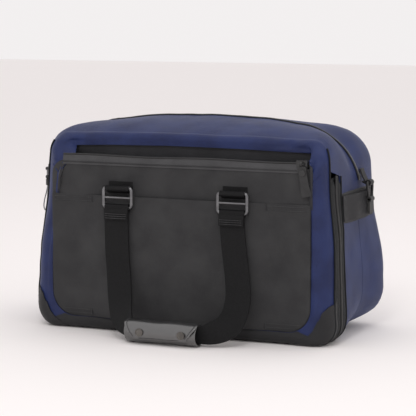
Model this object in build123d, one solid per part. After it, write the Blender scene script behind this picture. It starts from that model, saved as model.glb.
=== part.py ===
from build123d import *
import math
import os

# Soft carry-on bag: a boxy nylon body, a front section with an open laptop pocket and a luggage
# sleeve, two webbing handles on ladder buckles, side handles, strap rings and three zips.
# Millimetres. Origin on the floor at the centre of the base, +Z up, the front faces -Y.

# Body
HALF_BASE = 238.0          # half width where the sides meet the floor
SIDE_LEAN = 17.0           # the sides lean in by this much up to the shoulders
HALF_TOP = HALF_BASE - SIDE_LEAN    # half width at the shoulders
SHOULDER_Z = 299.0
CROWN_Z = 313.0
BOTTOM_CORNER_R = 60.0
SHOULDER_R = 34.0
Y_FRONT = -112.0
Y_BACK = 112.0
MOUTH_LOW_Z = 258.0        # front lip of the laptop pocket
FOLD_Y = -90.0             # front fold of the top
FOLD_Z = 288.0
BACK_TOP_Z = 284.0
FRONT_EDGE_R = 24.0        # upright edges
BACK_EDGE_R = 35.0
REAR_FOOT_R = 40.0         # rear bottom edge
FRONT_FOOT_R = 8.0
REAR_SHOULDER_R = 30.0
FOLD_R = 9.0
WALL = 2.5                 # nylon, foam and lining together
SEAM_GAP = 0.4             # between pieces that move apart

# Gusset strip with the zip that lets the front section swing out
GUSSET_FRONT_Y = -90.0
GUSSET_ZIP_Y = -72.0
GUSSET_BACK_Y = -57.0
GUSSET_TOP_Z = 255.0
SECTION_TOP_Z = 245.0      # top of the swinging front section's sides
SECTION_LIFT = 5.0         # room for it to rise as it swings
COIL_HEIGHT = 2.0
COIL_WIDTH = 2.8
BELLOWS_INSET = 3.2
BELLOWS_T = 1.4
BELLOWS_DEPTH = 16.0

# Front of the pocket
PANEL_HALF = HALF_BASE - 34.0
PANEL_LOW_Z = 19.0
PANEL_CORNER_R = 36.0
PANEL_T = 3.0
PANEL_TOP_Z = 248.0
FACING_HALF = PANEL_HALF - 7.0
FACING_T = 2.0
FACING_TOP_Z = 257.0
POCKET_COIL = 2.6
MOUTH_HALF = PANEL_HALF - 5.0
MOUTH_Y = -91.0
REAR_FACING_T = 1.5
REAR_FACING_LOW_Z = 251.0
REAR_FACING_TOP_Z = 281.5
DIVIDER_FRONT_Y = -86.0
DIVIDER_T = 4.0
DIVIDER_TOP_Z = 244.0
SLEEVE_TOP_Z = 200.0
SLEEVE_HALF = 137.0        # half width of the open channel
SLEEVE_GAP = 5.0
SLEEVE_T = 2.0

# Mouth of the main compartment
ZIP_TOP_Y = 2.0
ZIP_BEND_Z = 295.0
ZIP_END_Y = 25.0
ZIP_END_Z = 222.0
LID_HINGE_Z = 250.0

# Base
BOARD_T = 4.0
BOARD_MARGIN = 12.0
SIDE_SEAM_X = HALF_BASE - BOTTOM_CORNER_R
BACK_SEAM_Y = Y_BACK - BACK_EDGE_R

# Webbing, ladder buckles and handles
WEB_W = 38.0
WEB_T = 2.2
HANDLE_X = 90.0
BUCKLE_Y = 12.0            # bars stand this far off the front and back faces
BUCKLE_Z = 199.0
BUCKLE_PITCH = 13.2
BUCKLE_OPEN = WEB_W + 1.0
BUCKLE_W = BUCKLE_OPEN + 11.0
BUCKLE_H = 31.0
BUCKLE_T = 3.5
BAR_R = 1.75
RUN_CLEARANCE = 0.35
LOOP_T = 2.0
LOOP_TAB_TOP_Z = 221.0
LOOP_ROOT_Z = 204.0        # the zip puller passes between this neck and the sewn tab
GRIP_X = 6.0
GRIP_OFF = 63.0            # grip axis in front of the front face
GRIP_LENGTH = 112.0
GRIP_R = 16.0
GRIP_WALL = 2.4
GRIP_FLOOR = 0.3
CORE_W = 1.5 * GRIP_R
CORE_H = 9.0
FLAP_T = 2.0
FLAP_TOP = 110.0
FLAP_LOW = 86.0
FLAP_SWEEP = 112.0
STUD_X = 33.0
STUD_R = 6.0
STUD_T = 2.4

# Side handles, rings and tag
SIDE_HANDLE_Z = 190.5
SIDE_HANDLE_FRONT = -57.0
SIDE_HANDLE_BACK = BACK_SEAM_Y + 2.0
SIDE_PATCH_T = 1.5
SIDE_PATCH_MARGIN = 4.0
SIDE_HANDLE_RISE = 6.0
RING_Y = 35.0
RING_Z = 219.0
RING_OFF = 13.6
RING_BAR_R = 2.0
RING_W = 26.0
RING_H = 26.0
RING_LOOP_W = 16.0
TAG_W = 16.0
TAG_H = 18.0
TAG_T = 2.0

# Zip sliders and pulls
SLIDER_L = 16.0
SLIDER_W = 10.0
SLIDER_T = 2.0
SLIDER_GAP = 0.4
PIN_R = 1.2
PIN_HEIGHT = 7.8
PULL_EYE_T = 1.2
PULL_EYE_W = 4.2
LUG_T = 1.5
LAPTOP_SLIDER_X = MOUTH_HALF - 9.0
LAPTOP_PULL_L = 43.0
LAPTOP_PULL_W = 11.0
LAPTOP_PULL_T = 2.0
RIVET_R = 5.0
RIVET_T = 1.0
MAIN_SLIDER_Z = 248.0
MAIN_PULL_L = 23.0
MAIN_PULL_W = 9.0
GUSSET_SLIDER_Z = 231.0
CORD_R = 0.9
CORD_SPREAD = 1.1
BEAD_R = 3.4
TOGGLE_H = 10.0
LINK_L = 10.0

FAR = 500.0                # larger than the bag, for cutting blocks

LEAN = math.degrees(math.atan((HALF_BASE - HALF_TOP) / SHOULDER_Z))
EYE_IN = PIN_R + RUN_CLEARANCE
EYE_OUT = EYE_IN + PULL_EYE_T


def block(x0, x1, y0, y1, z0, z1):
    """Box between two corners."""
    centre = Pos((x0 + x1) / 2, (y0 + y1) / 2, (z0 + z1) / 2)
    return centre * Box(x1 - x0, y1 - y0, z1 - z0)


def polygon(points):
    """Face inside a closed run of straight lines."""
    return make_face(Polyline(*points, close=True))


def xz_prism(face, y0, y1):
    """Face drawn in the front elevation, from y0 back to y1."""
    return Pos(0, y1, 0) * extrude(Plane.XZ * face, amount=y1 - y0)


def yz_prism(face, x0=-FAR, x1=FAR):
    """Face drawn in the side elevation, from x0 to x1."""
    return Pos(x0, 0, 0) * extrude(Plane.YZ * face, amount=x1 - x0)


def rounded(face, point, radius):
    """Face with the corner nearest to a point rounded."""
    corner = face.vertices().sort_by_distance(Vector(*point, 0))[0]
    return fillet(corner, radius)


def front_outline():
    """Front elevation: leaning sides, rounded bottom corners and shoulders, low arched crown."""
    right_foot = (HALF_BASE, 0)
    right_top = (HALF_TOP, SHOULDER_Z)
    left_foot = (-HALF_BASE, 0)
    left_top = (-HALF_TOP, SHOULDER_Z)
    face = make_face([
        Line(left_foot, right_foot),
        Line(right_foot, right_top),
        ThreePointArc(right_top, (0, CROWN_Z), left_top),
        Line(left_top, left_foot),
    ])
    for foot in (left_foot, right_foot):
        face = rounded(face, foot, BOTTOM_CORNER_R)
    for top in (left_top, right_top):
        face = rounded(face, top, SHOULDER_R)
    return face


def side_outline():
    """Side elevation: upright front and back, slanting pocket mouth, arched top."""
    front_foot = (Y_FRONT, 0)
    back_foot = (Y_BACK, 0)
    back_top = (Y_BACK, BACK_TOP_Z)
    fold = (FOLD_Y, FOLD_Z)
    lip = (Y_FRONT, MOUTH_LOW_Z)
    face = make_face([
        Line(front_foot, back_foot),
        Line(back_foot, back_top),
        ThreePointArc(back_top, (ZIP_TOP_Y + 6, CROWN_Z), fold),
        Line(fold, lip),
        Line(lip, front_foot),
    ])
    face = rounded(face, front_foot, FRONT_FOOT_R)
    face = rounded(face, back_foot, REAR_FOOT_R)
    face = rounded(face, back_top, REAR_SHOULDER_R)
    face = rounded(face, fold, FOLD_R)
    return rounded(face, lip, FOLD_R)


def plan_outline():
    """Plan: a rectangle with rounded upright edges."""
    half = HALF_BASE
    face = polygon([(-half, Y_FRONT), (half, Y_FRONT), (half, Y_BACK), (-half, Y_BACK)])
    for x in (-half, half):
        face = rounded(face, (x, Y_FRONT), FRONT_EDGE_R)
        face = rounded(face, (x, Y_BACK), BACK_EDGE_R)
    return face


def bag_block(inset):
    """Solid bag, drawn in by inset all round, or let out where inset is negative."""
    front = offset(front_outline(), -inset)
    side = offset(side_outline(), -inset)
    plan = offset(plan_outline(), -inset)
    tall = Pos(0, 0, -FAR) * extrude(plan, amount=2 * FAR)
    return xz_prism(front, -FAR, FAR) & yz_prism(side) & tall


def rounded_window(half, low, top, radius):
    """Face with a straight top and rounded bottom corners."""
    face = polygon([(-half, low), (half, low), (half, top), (-half, top)])
    for x in (-half, half):
        face = rounded(face, (x, low), radius)
    return face


def mirror_x(shape):
    return mirror(shape, about=Plane.YZ)


def mirror_y(shape):
    return Pos(0, Y_FRONT + Y_BACK, 0) * mirror(shape, about=Plane.XZ)


def on_right_side(y, z):
    """Place on the right side's outer face: local X points out of the bag."""
    x = HALF_BASE - math.tan(math.radians(LEAN)) * z
    return Location((x, y, z), (0, -LEAN, 0))


parts = {}

outer = bag_block(0)
wall = outer - bag_block(WALL)
raised = bag_block(-COIL_HEIGHT) - outer

# Regions of the bag's skin
lid_front = [(ZIP_TOP_Y, FAR), (ZIP_TOP_Y, ZIP_BEND_Z), (ZIP_END_Y, ZIP_END_Z)]
lid_region = yz_prism(polygon(
    lid_front + [(Y_BACK, LID_HINGE_Z), (FAR, LID_HINGE_Z), (FAR, FAR)]))
mouth = block(-MOUTH_HALF, MOUTH_HALF, -FAR, MOUTH_Y, SECTION_TOP_Z, FAR)
above_section = block(
    -FAR, FAR, -FAR, GUSSET_ZIP_Y + SEAM_GAP / 2, SECTION_TOP_Z + SECTION_LIFT, FAR)
above_gusset = block(-FAR, FAR, GUSSET_ZIP_Y + SEAM_GAP / 2, ZIP_TOP_Y, GUSSET_TOP_Z, FAR)


def lid():
    """Rear half of the top, which swings back about its foot on the back panel."""
    trimmed = [(y + SEAM_GAP, z) for y, z in lid_front]
    rear = [(Y_BACK, LID_HINGE_Z + SEAM_GAP), (FAR, LID_HINGE_Z + SEAM_GAP), (FAR, FAR)]
    trimmed[-1] = (ZIP_END_Y + SEAM_GAP, ZIP_END_Z + 2 * SEAM_GAP)
    region = yz_prism(polygon(trimmed + rear))
    parts["top_rear_panel"] = wall & region
    band = [(ZIP_TOP_Y + SEAM_GAP, FAR), (ZIP_TOP_Y + SEAM_GAP, ZIP_BEND_Z)]
    band += [(ZIP_END_Y + SEAM_GAP - 2, ZIP_END_Z + 6)]
    back = [(y + COIL_WIDTH, z) for y, z in reversed(band)]
    parts["main_zip_rear"] = raised & yz_prism(polygon(band + back))


def top_front():
    """Front half of the top with the upper corners beside the pocket mouth."""
    skin = wall & (above_section + above_gusset)
    lip_room = block(-PANEL_HALF - 1, PANEL_HALF + 1, -FAR, Y_FRONT + PANEL_T + 1,
                     SECTION_TOP_Z, SECTION_TOP_Z + 2 * SECTION_LIFT)
    parts["top_front_panel"] = skin - mouth - lip_room - lid_region
    band = [(ZIP_TOP_Y - SEAM_GAP, FAR), (ZIP_TOP_Y - SEAM_GAP, ZIP_BEND_Z)]
    band += [(ZIP_END_Y - SEAM_GAP - 2, ZIP_END_Z + 6)]
    front = [(y - COIL_WIDTH, z) for y, z in reversed(band)]
    parts["main_zip_front"] = raised & yz_prism(polygon(band + front))
    parts["pocket_rear_facing"] = block(
        -MOUTH_HALF + WALL, MOUTH_HALF - WALL, MOUTH_Y, MOUTH_Y + REAR_FACING_T,
        REAR_FACING_LOW_Z, REAR_FACING_TOP_Z)


def rear_shell():
    """Back, sides and base behind the gusset strip."""
    behind = wall - lid_region - above_gusset
    back_zone = block(-FAR, FAR, BACK_SEAM_Y, FAR, -FAR, FAR)
    mid_zone = block(-FAR, FAR, GUSSET_BACK_Y, BACK_SEAM_Y, -FAR, FAR)
    base_zone = block(-SIDE_SEAM_X, SIDE_SEAM_X, -FAR, FAR, -FAR, REAR_FOOT_R)
    parts["back_panel"] = behind & back_zone
    middle = behind & mid_zone
    parts["base_panel"] = middle & base_zone
    sides = middle - base_zone
    parts["side_panel_right"] = sides & block(0, FAR, -FAR, FAR, -FAR, FAR)
    parts["side_panel_left"] = sides & block(-FAR, 0, -FAR, FAR, -FAR, FAR)
    margin = BOARD_MARGIN
    board = RectangleRounded(
        2 * SIDE_SEAM_X - margin, BACK_SEAM_Y - GUSSET_BACK_Y - margin, margin)
    middle_y = (BACK_SEAM_Y + GUSSET_BACK_Y) / 2
    parts["base_board"] = Pos(0, middle_y, WALL) * extrude(board, amount=BOARD_T)


def gusset():
    """Black strip down both sides and under the base, split at its zip."""
    gap = SEAM_GAP / 2
    rear = block(-FAR, FAR, GUSSET_ZIP_Y + gap, GUSSET_BACK_Y, -FAR, GUSSET_TOP_Z)
    front = block(-FAR, FAR, GUSSET_FRONT_Y, GUSSET_ZIP_Y - gap, -FAR, SECTION_TOP_Z)
    parts["gusset_rear"] = wall & rear
    parts["gusset_front"] = wall & front
    above_floor = block(-FAR, FAR, -FAR, FAR, 2 * COIL_HEIGHT, SECTION_TOP_Z)
    coils = raised & above_floor
    rear_y = GUSSET_ZIP_Y + gap
    front_y = GUSSET_ZIP_Y - gap
    parts["gusset_zip_rear"] = coils & block(
        -FAR, FAR, rear_y, rear_y + COIL_WIDTH, -FAR, FAR)
    parts["gusset_zip_front"] = coils & block(
        -FAR, FAR, front_y - COIL_WIDTH, front_y, -FAR, FAR)
    folded = bag_block(BELLOWS_INSET) - bag_block(BELLOWS_INSET + BELLOWS_T)
    half = BELLOWS_DEPTH / 2
    parts["expansion_bellows"] = folded & block(
        -FAR, FAR, GUSSET_ZIP_Y - half, GUSSET_ZIP_Y + half, -FAR, SECTION_TOP_Z - half)


def corner_patch_face():
    """Black patch over the lower right corner, with an S-shaped upper edge."""
    side = HALF_BASE
    top = (side + 12, 65)
    toe = (side - 73, -2)
    below = (side - 73, -20)
    return make_face([
        Spline(top, (side - 10, 58.5), (side - 24, 36), (side - 40, 13), toe),
        Line(toe, below),
        Line(below, (side + 12, -20)),
        Line((side + 12, -20), top),
    ])


def front_shell():
    """Border, corner patches and base strip that frame the pocket."""
    skin = wall & block(-FAR, FAR, -FAR, GUSSET_FRONT_Y, -FAR, SECTION_TOP_Z)
    window = rounded_window(PANEL_HALF, PANEL_LOW_Z, FAR, PANEL_CORNER_R)
    skin = skin - xz_prism(window, -FAR, Y_FRONT + 2 * WALL)
    patch = xz_prism(corner_patch_face(), -FAR, FAR)
    both = patch + mirror_x(patch)
    parts["corner_patch_right"] = skin & patch
    parts["corner_patch_left"] = skin & mirror_x(patch)
    rest = skin - both
    foot = block(-FAR, FAR, -FAR, FAR, -FAR, PANEL_LOW_Z)
    parts["front_base_strip"] = rest & foot
    sides = rest - foot
    parts["border_right"] = sides & block(0, FAR, -FAR, FAR, -FAR, FAR)
    parts["border_left"] = sides & block(-FAR, 0, -FAR, FAR, -FAR, FAR)


def pocket():
    """Laptop pocket: front panel, facing, zip coil, luggage sleeve and padded divider."""
    panel = rounded_window(PANEL_HALF, PANEL_LOW_Z, PANEL_TOP_Z, PANEL_CORNER_R)
    parts["pocket_panel"] = xz_prism(panel, Y_FRONT, Y_FRONT + PANEL_T)
    parts["pocket_facing"] = block(
        -FACING_HALF, FACING_HALF, Y_FRONT, Y_FRONT + FACING_T, PANEL_TOP_Z, FACING_TOP_Z)
    coil_y = Y_FRONT + FACING_T / 2
    parts["pocket_zip_coil"] = block(
        -FACING_HALF, FACING_HALF, coil_y - POCKET_COIL / 2, coil_y + POCKET_COIL / 2,
        FACING_TOP_Z, FACING_TOP_Z + POCKET_COIL)
    sleeve = rounded_window(PANEL_HALF, PANEL_LOW_Z, SLEEVE_TOP_Z, PANEL_CORNER_R)
    sleeve_y = Y_FRONT - SLEEVE_GAP - SLEEVE_T
    channel = block(-SLEEVE_HALF, SLEEVE_HALF, Y_FRONT - SLEEVE_GAP, Y_FRONT, -FAR, FAR)
    parts["luggage_sleeve"] = xz_prism(sleeve, sleeve_y, Y_FRONT) - channel
    outline = offset(front_outline(), -WALL - SEAM_GAP)
    low = block(-FAR, FAR, -FAR, FAR, 2 * WALL, DIVIDER_TOP_Z)
    padded = xz_prism(outline, DIVIDER_FRONT_Y, DIVIDER_FRONT_Y + DIVIDER_T)
    parts["pocket_divider"] = padded & low


def webbing_eye(radius, thickness):
    """Ring of webbing round a bar, drawn about the origin."""
    return Circle(radius + RUN_CLEARANCE + thickness) - Circle(radius + RUN_CLEARANCE)


def buckle():
    """Three-bar ladder buckle, standing up about the origin."""
    post_w = (BUCKLE_W - BUCKLE_OPEN) / 2
    post_x = (BUCKLE_OPEN + post_w) / 2
    post = RectangleRounded(post_w, BUCKLE_H, post_w / 3)
    frame = []
    for x in (-post_x, post_x):
        frame.append(Pos(x, BUCKLE_T / 2, 0) * extrude(Plane.XZ * post, amount=BUCKLE_T))
    shape = frame[0] + frame[1]
    for z in (-BUCKLE_PITCH, 0, BUCKLE_PITCH):
        shape += Pos(0, 0, z) * Rot(0, 90, 0) * Cylinder(BAR_R, BUCKLE_OPEN + post_w)
    return shape


def buckle_loop(y_bar):
    """Webbing loop that holds a buckle's top bar, sewn into the front face."""
    bar = (y_bar, BUCKLE_Z + BUCKLE_PITCH)
    root = (Y_FRONT + 2 * LOOP_T, LOOP_ROOT_Z)
    leg = trace(Line(bar, root), 2 * LOOP_T)
    hole = Pos(*bar) * Circle(BAR_R + RUN_CLEARANCE)
    profile = Pos(*bar) * webbing_eye(BAR_R, LOOP_T) + (leg - hole)
    shape = yz_prism(profile, -WEB_W / 2, WEB_W / 2)
    tab = block(-WEB_W / 2, WEB_W / 2, Y_FRONT - LOOP_T, Y_FRONT, LOOP_ROOT_Z, LOOP_TAB_TOP_Z)
    return (shape + tab) & block(-FAR, FAR, -FAR, Y_FRONT, -FAR, FAR)


def handle_strap(y_bar, core_back):
    """Webbing strap: folded round the bottom bar, hanging down, then curling out to the grip."""
    bar = (y_bar, BUCKLE_Z - BUCKLE_PITCH)
    axis_z = GRIP_R + GRIP_FLOOR
    route = [
        (y_bar, bar[1] - BAR_R - RUN_CLEARANCE - 0.3),
        (y_bar - 1, 160),
        (y_bar - 4, 100),
        (y_bar - 14, 48),
        (core_back, axis_z),
    ]
    line = FilletPolyline(*route, radius=(40, 60, 40))
    hole = Pos(*bar) * Circle(BAR_R + RUN_CLEARANCE)
    profile = Pos(*bar) * webbing_eye(BAR_R, WEB_T) + (trace(line, WEB_T) - hole)
    shape = yz_prism(profile, -WEB_W / 2, WEB_W / 2)
    return shape & block(-FAR, FAR, core_back, FAR, -FAR, FAR)


def handles():
    """Front and rear handles on their buckles; the front one carries the leather grip."""
    y_bar = Y_FRONT - BUCKLE_Y
    grip_y = Y_FRONT - GRIP_OFF
    axis_z = GRIP_R + GRIP_FLOOR
    core_back = grip_y + CORE_W / 2
    one_buckle = Pos(0, y_bar, BUCKLE_Z) * buckle()
    loop = buckle_loop(y_bar)
    strap = handle_strap(y_bar, core_back)
    half = HANDLE_X + WEB_W / 2
    core = block(-half, half, grip_y - CORE_W / 2, core_back,
                 axis_z - CORE_H / 2, axis_z + CORE_H / 2)
    loops = Pos(-HANDLE_X, 0, 0) * loop + Pos(HANDLE_X, 0, 0) * loop
    parts["front_buckle_loops"] = loops
    parts["rear_buckle_loops"] = mirror_y(loops)
    for side, x in (("left", -HANDLE_X), ("right", HANDLE_X)):
        parts["front_buckle_" + side] = Pos(x, 0, 0) * one_buckle
        parts["rear_buckle_" + side] = mirror_y(Pos(x, 0, 0) * one_buckle)
        parts["front_strap_" + side] = Pos(x, 0, 0) * strap
        parts["rear_strap_" + side] = mirror_y(Pos(x, 0, 0) * strap)
    parts["grip_core"] = core
    parts["rear_hand_loop"] = mirror_y(core)
    place = Pos(GRIP_X, grip_y, axis_z) * Rot(0, 90, 0)
    tube = Cylinder(GRIP_R, GRIP_LENGTH) - Cylinder(GRIP_R - GRIP_WALL, GRIP_LENGTH)
    parts["leather_grip"] = place * tube


def grip_closure():
    """Leather flap over the front of the grip, with two snap studs."""
    grip_y = Y_FRONT - GRIP_OFF
    axis_z = GRIP_R + GRIP_FLOOR
    inner = GRIP_R + SEAM_GAP
    ring = Circle(inner + FLAP_T) - Circle(inner)
    reach = 3 * GRIP_R
    start = math.radians(90)
    end = math.radians(90 + FLAP_SWEEP)
    middle = (start + end) / 2
    wedge = polygon([
        (0, 0),
        (reach * math.cos(start), reach * math.sin(start)),
        (2 * reach * math.cos(middle), 2 * reach * math.sin(middle)),
        (reach * math.cos(end), reach * math.sin(end)),
    ])
    curved = Pos(GRIP_X, grip_y, axis_z) * yz_prism(ring & wedge, -FLAP_TOP / 2, FLAP_TOP / 2)
    top_z = axis_z + inner + 2 * FLAP_T
    low_z = 0.0
    taper = polygon([
        (-FLAP_TOP / 2, top_z), (FLAP_TOP / 2, top_z),
        (FLAP_TOP / 2, axis_z + GRIP_R / 2), (FLAP_LOW / 2, low_z),
        (-FLAP_LOW / 2, low_z), (-FLAP_TOP / 2, axis_z + GRIP_R / 2),
    ])
    parts["grip_flap"] = curved & (Pos(GRIP_X, 0, 0) * xz_prism(taper, -FAR, 0))
    studs = []
    for x in (-STUD_X, STUD_X):
        cap = Rot(90, 0, 0) * Cylinder(STUD_R, 2 * STUD_T)
        studs.append(Pos(GRIP_X + x, grip_y - inner - FLAP_T, axis_z) * cap)
    shape = studs[0] + studs[1]
    parts["snap_studs"] = shape - (Pos(GRIP_X, grip_y, axis_z) * Rot(0, 90, 0)
                                   * Cylinder(inner + FLAP_T, 2 * FLAP_TOP))


def side_handles():
    """Flat webbing handle on each side, over a black backing patch."""
    half_h = WEB_W / 2
    patch_skin = bag_block(-SIDE_PATCH_T) - outer
    patch = patch_skin & block(
        0, FAR, SIDE_HANDLE_FRONT + SIDE_PATCH_MARGIN / 2, SIDE_HANDLE_BACK + SIDE_PATCH_MARGIN,
        SIDE_HANDLE_Z - half_h - SIDE_PATCH_MARGIN, SIDE_HANDLE_Z + half_h + SIDE_PATCH_MARGIN)
    parts["side_handle_bases"] = patch + mirror_x(patch)
    low = SIDE_PATCH_T + 0.3 + WEB_T / 2
    high = SIDE_PATCH_T + SIDE_HANDLE_RISE + WEB_T / 2
    front = SIDE_HANDLE_FRONT + SIDE_PATCH_MARGIN
    back = SIDE_HANDLE_BACK
    route = [(low, front), (low, front + 16), (high, front + 42),
             (high, back - 42), (low, back - 16), (low, back)]
    line = FilletPolyline(*route, radius=20)
    strap = extrude(trace(line, WEB_T), amount=half_h, both=True)
    parts["side_handle_right"] = on_right_side(0, SIDE_HANDLE_Z) * strap
    parts["side_handle_left"] = mirror_x(parts["side_handle_right"])


def strap_rings():
    """D-ring on each side in a webbing loop; a plain tag hangs from the right one."""
    place = on_right_side(RING_Y, RING_Z)
    w, h, r = RING_W / 2, RING_H, RING_BAR_R
    neck = w * 0.55
    outer_ring = polygon([(-w, r), (w, r), (w, -h * 0.2), (neck, -h), (-neck, -h), (-w, -h * 0.2)])
    wi, ni = w - 2 * r, neck - r
    inner_ring = polygon([(-wi, -r), (wi, -r), (wi, -h * 0.25), (ni, -h + 2 * r),
                          (-ni, -h + 2 * r), (-wi, -h * 0.25)])
    flat = yz_prism(outer_ring - inner_ring, -r, r)
    flat -= block(-FAR, FAR, -wi, wi, -r, FAR)
    foot = block(-FAR, FAR, -ni, ni, -FAR, -h + 2 * r)
    flat -= foot
    bar = Rot(90, 0, 0) * Cylinder(r, 2 * wi + r)
    toe = Pos(0, 0, -h + r) * Rot(90, 0, 0) * Cylinder(r, 2 * ni + r / 2)
    ring = flat + bar + toe
    parts["ring_right"] = place * Pos(RING_OFF, 0, 0) * ring
    parts["ring_left"] = mirror_x(parts["ring_right"])
    eye = Pos(RING_OFF, 0) * webbing_eye(r, LOOP_T)
    hole = Pos(RING_OFF, 0) * Circle(r + RUN_CLEARANCE)
    leg = trace(Line((RING_OFF, 0), (-LOOP_T, RING_OFF)), 2 * LOOP_T) - hole
    profile = Plane.XZ * (eye + leg)
    loop = extrude(profile, amount=RING_LOOP_W / 2, both=True) & block(0, FAR, -FAR, FAR, -FAR, FAR)
    right = place * loop
    parts["ring_loops"] = right + mirror_x(right)
    tag_eye = webbing_eye(r, WEB_T / 2)
    tag_top = -r - RUN_CLEARANCE - WEB_T / 4
    plate = polygon([(-TAG_T / 2, tag_top), (TAG_T / 2, tag_top),
                     (TAG_T / 2, tag_top - TAG_H), (-TAG_T / 2, tag_top - TAG_H)])
    narrow = extrude(Plane.XZ * tag_eye, amount=ni * 0.8, both=True)
    wide = extrude(Plane.XZ * plate, amount=TAG_W / 2, both=True)
    neck_cut = block(-FAR, FAR, -FAR, -ni * 0.8, -2 * r, FAR) + block(
        -FAR, FAR, ni * 0.8, FAR, -2 * r, FAR)
    tag = narrow + (wide - neck_cut)
    parts["label_tag"] = place * Pos(RING_OFF, 0, -h + r) * tag


def zip_slider(pin_along_travel):
    """Slider about the origin: travel along X, outward +Z, gripping the coil on its +Y side."""
    low = COIL_HEIGHT + SLIDER_GAP
    plate = RectangleRounded(SLIDER_L, SLIDER_W, 2)
    shape = Pos(0, 0, low) * extrude(plate, amount=SLIDER_T)
    edge = SLIDER_W / 2
    inner = COIL_WIDTH + 3 * SLIDER_GAP / 2
    shape += block(-SLIDER_L / 3, SLIDER_L / 3, inner, edge, SLIDER_GAP, low)
    top = low + SLIDER_T
    half = PULL_EYE_W / 2 + SLIDER_GAP
    lugs = block(-PIN_R, PIN_R, half, half + LUG_T, top, PIN_HEIGHT + PIN_R)
    lugs += block(-PIN_R, PIN_R, -half - LUG_T, -half, top, PIN_HEIGHT + PIN_R)
    lugs += Pos(0, 0, PIN_HEIGHT) * Rot(90, 0, 0) * Cylinder(PIN_R, 2 * half + LUG_T)
    if pin_along_travel:
        lugs = Rot(0, 0, 90) * lugs
    return shape + lugs


def pull_tab(length, width, thickness):
    """Pull tab about its pin: the pin lies along Y and the tab hangs along -Z."""
    eye = Circle(EYE_OUT) - Circle(EYE_IN)
    shape = extrude(Plane.XZ * eye, amount=PULL_EYE_W / 2, both=True)
    neck = 4.5
    start = (EYE_IN + EYE_OUT) / 2
    shape += block(-thickness / 2, thickness / 2, -PULL_EYE_W / 2, PULL_EYE_W / 2, -neck, -start)
    tab = Plane.YZ * RectangleRounded(width, length - neck, width / 4)
    plate = extrude(tab, amount=thickness / 2, both=True)
    return shape + Pos(0, 0, -(length + neck) / 2) * plate


def laptop_zip():
    """Slider at the right end of the pocket's coil, with a flat puller and its rivet."""
    coil_y = Y_FRONT + FACING_T / 2
    half = POCKET_COIL / 2 + SLIDER_GAP
    top = FACING_TOP_Z + POCKET_COIL + SLIDER_GAP
    low = FACING_TOP_Z - 2 * POCKET_COIL
    length = SLIDER_L
    shape = block(-length / 2, length / 2, coil_y - half - SLIDER_T, coil_y + half + SLIDER_T,
                  low, top + SLIDER_T)
    shape -= block(-FAR, FAR, coil_y - half, coil_y + half, -FAR, top)
    front = coil_y - half - SLIDER_T
    pin_y = front - EYE_OUT - SLIDER_GAP
    pin_z = FACING_TOP_Z
    gap = PULL_EYE_W / 2 + SLIDER_GAP
    for x in (-gap - LUG_T, gap):
        shape += block(x, x + LUG_T, pin_y - PIN_R, front, pin_z - PIN_R, pin_z + PIN_R)
    shape += Pos(0, pin_y, pin_z) * Rot(0, 90, 0) * Cylinder(PIN_R, 2 * gap + LUG_T)
    parts["laptop_slider"] = Pos(LAPTOP_SLIDER_X, 0, 0) * shape
    place = Pos(LAPTOP_SLIDER_X, pin_y, pin_z)
    tab = pull_tab(LAPTOP_PULL_L, LAPTOP_PULL_W, LAPTOP_PULL_T)
    parts["laptop_puller"] = place * Rot(0, 0, 90) * tab
    rivet = Rot(90, 0, 0) * Cylinder(RIVET_R, RIVET_T)
    parts["laptop_puller_rivet"] = place * Pos(
        0, -LAPTOP_PULL_T / 2 - RIVET_T / 2, -PULL_EYE_W - 2 * RIVET_R) * rivet


def side_zip_place(x_offset_z, y, tilt):
    """Slider's place on the left side, its travel turned by tilt from straight down."""
    right = on_right_side(y, x_offset_z)
    turn = Rot(0, 90, 0) * Rot(0, 0, tilt)
    return right * turn


def gusset_zip():
    """Slider parked high on the left side, with a cord pull."""
    place = side_zip_place(GUSSET_SLIDER_Z, GUSSET_ZIP_Y, 0)
    slider = place * zip_slider(False)
    parts["gusset_slider"] = mirror_x(slider)
    pin = on_right_side(GUSSET_ZIP_Y, GUSSET_SLIDER_Z) * Pos(PIN_HEIGHT, 0, 0)
    upright = Pos(*pin.position)
    eye = Circle(EYE_OUT) - Circle(EYE_IN)
    link = extrude(Plane.XZ * eye, amount=PULL_EYE_W / 2, both=True)
    link += block(-PIN_R, PIN_R, -PIN_R, PIN_R, -LINK_L, -EYE_IN)
    parts["cord_link"] = mirror_x(upright * link)
    bead_z = -LINK_L - BEAD_R + 0.8
    bead = Pos(0, 0, bead_z) * Sphere(BEAD_R)
    bead -= block(-FAR, FAR, -FAR, FAR, -LINK_L, FAR)
    foot = bead_z - BEAD_R + 0.6
    bead -= block(-FAR, FAR, -FAR, FAR, -FAR, foot)
    parts["cord_bead"] = mirror_x(upright * bead)
    toggle = Pos(0, 0, foot - TOGGLE_H / 2) * Cylinder(BEAD_R - 0.5, TOGGLE_H)
    parts["cord_toggle"] = mirror_x(upright * chamfer(toggle.edges().filter_by(GeomType.CIRCLE), 0.8))
    cord_top = foot - TOGGLE_H
    side = CORD_SPREAD * 0.7
    route = [
        Vector(-side, -side, cord_top), Vector(-0.6, -1.6, cord_top - 9),
        Vector(-1.2, -4.4, cord_top - 21), Vector(0.4, -4.8, cord_top - 33),
        Vector(5.6, 0.3, cord_top - 39), Vector(10.6, 5.0, cord_top - 32),
        Vector(7.6, 3.8, cord_top - 20), Vector(3.0, 1.7, cord_top - 9),
        Vector(side, side, cord_top),
    ]
    path = FilletPolyline(*route, radius=cord_radii(route))
    start = Plane(origin=path @ 0, z_dir=path % 0)
    loop = sweep(start * Circle(CORD_R), path=path)
    print("cord length", round(path.length, 1), "tube volume ratio",
          round(loop.volume / (math.pi * CORD_R ** 2 * path.length), 4))
    parts["cord_loop"] = mirror_x(upright * loop)


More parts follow.
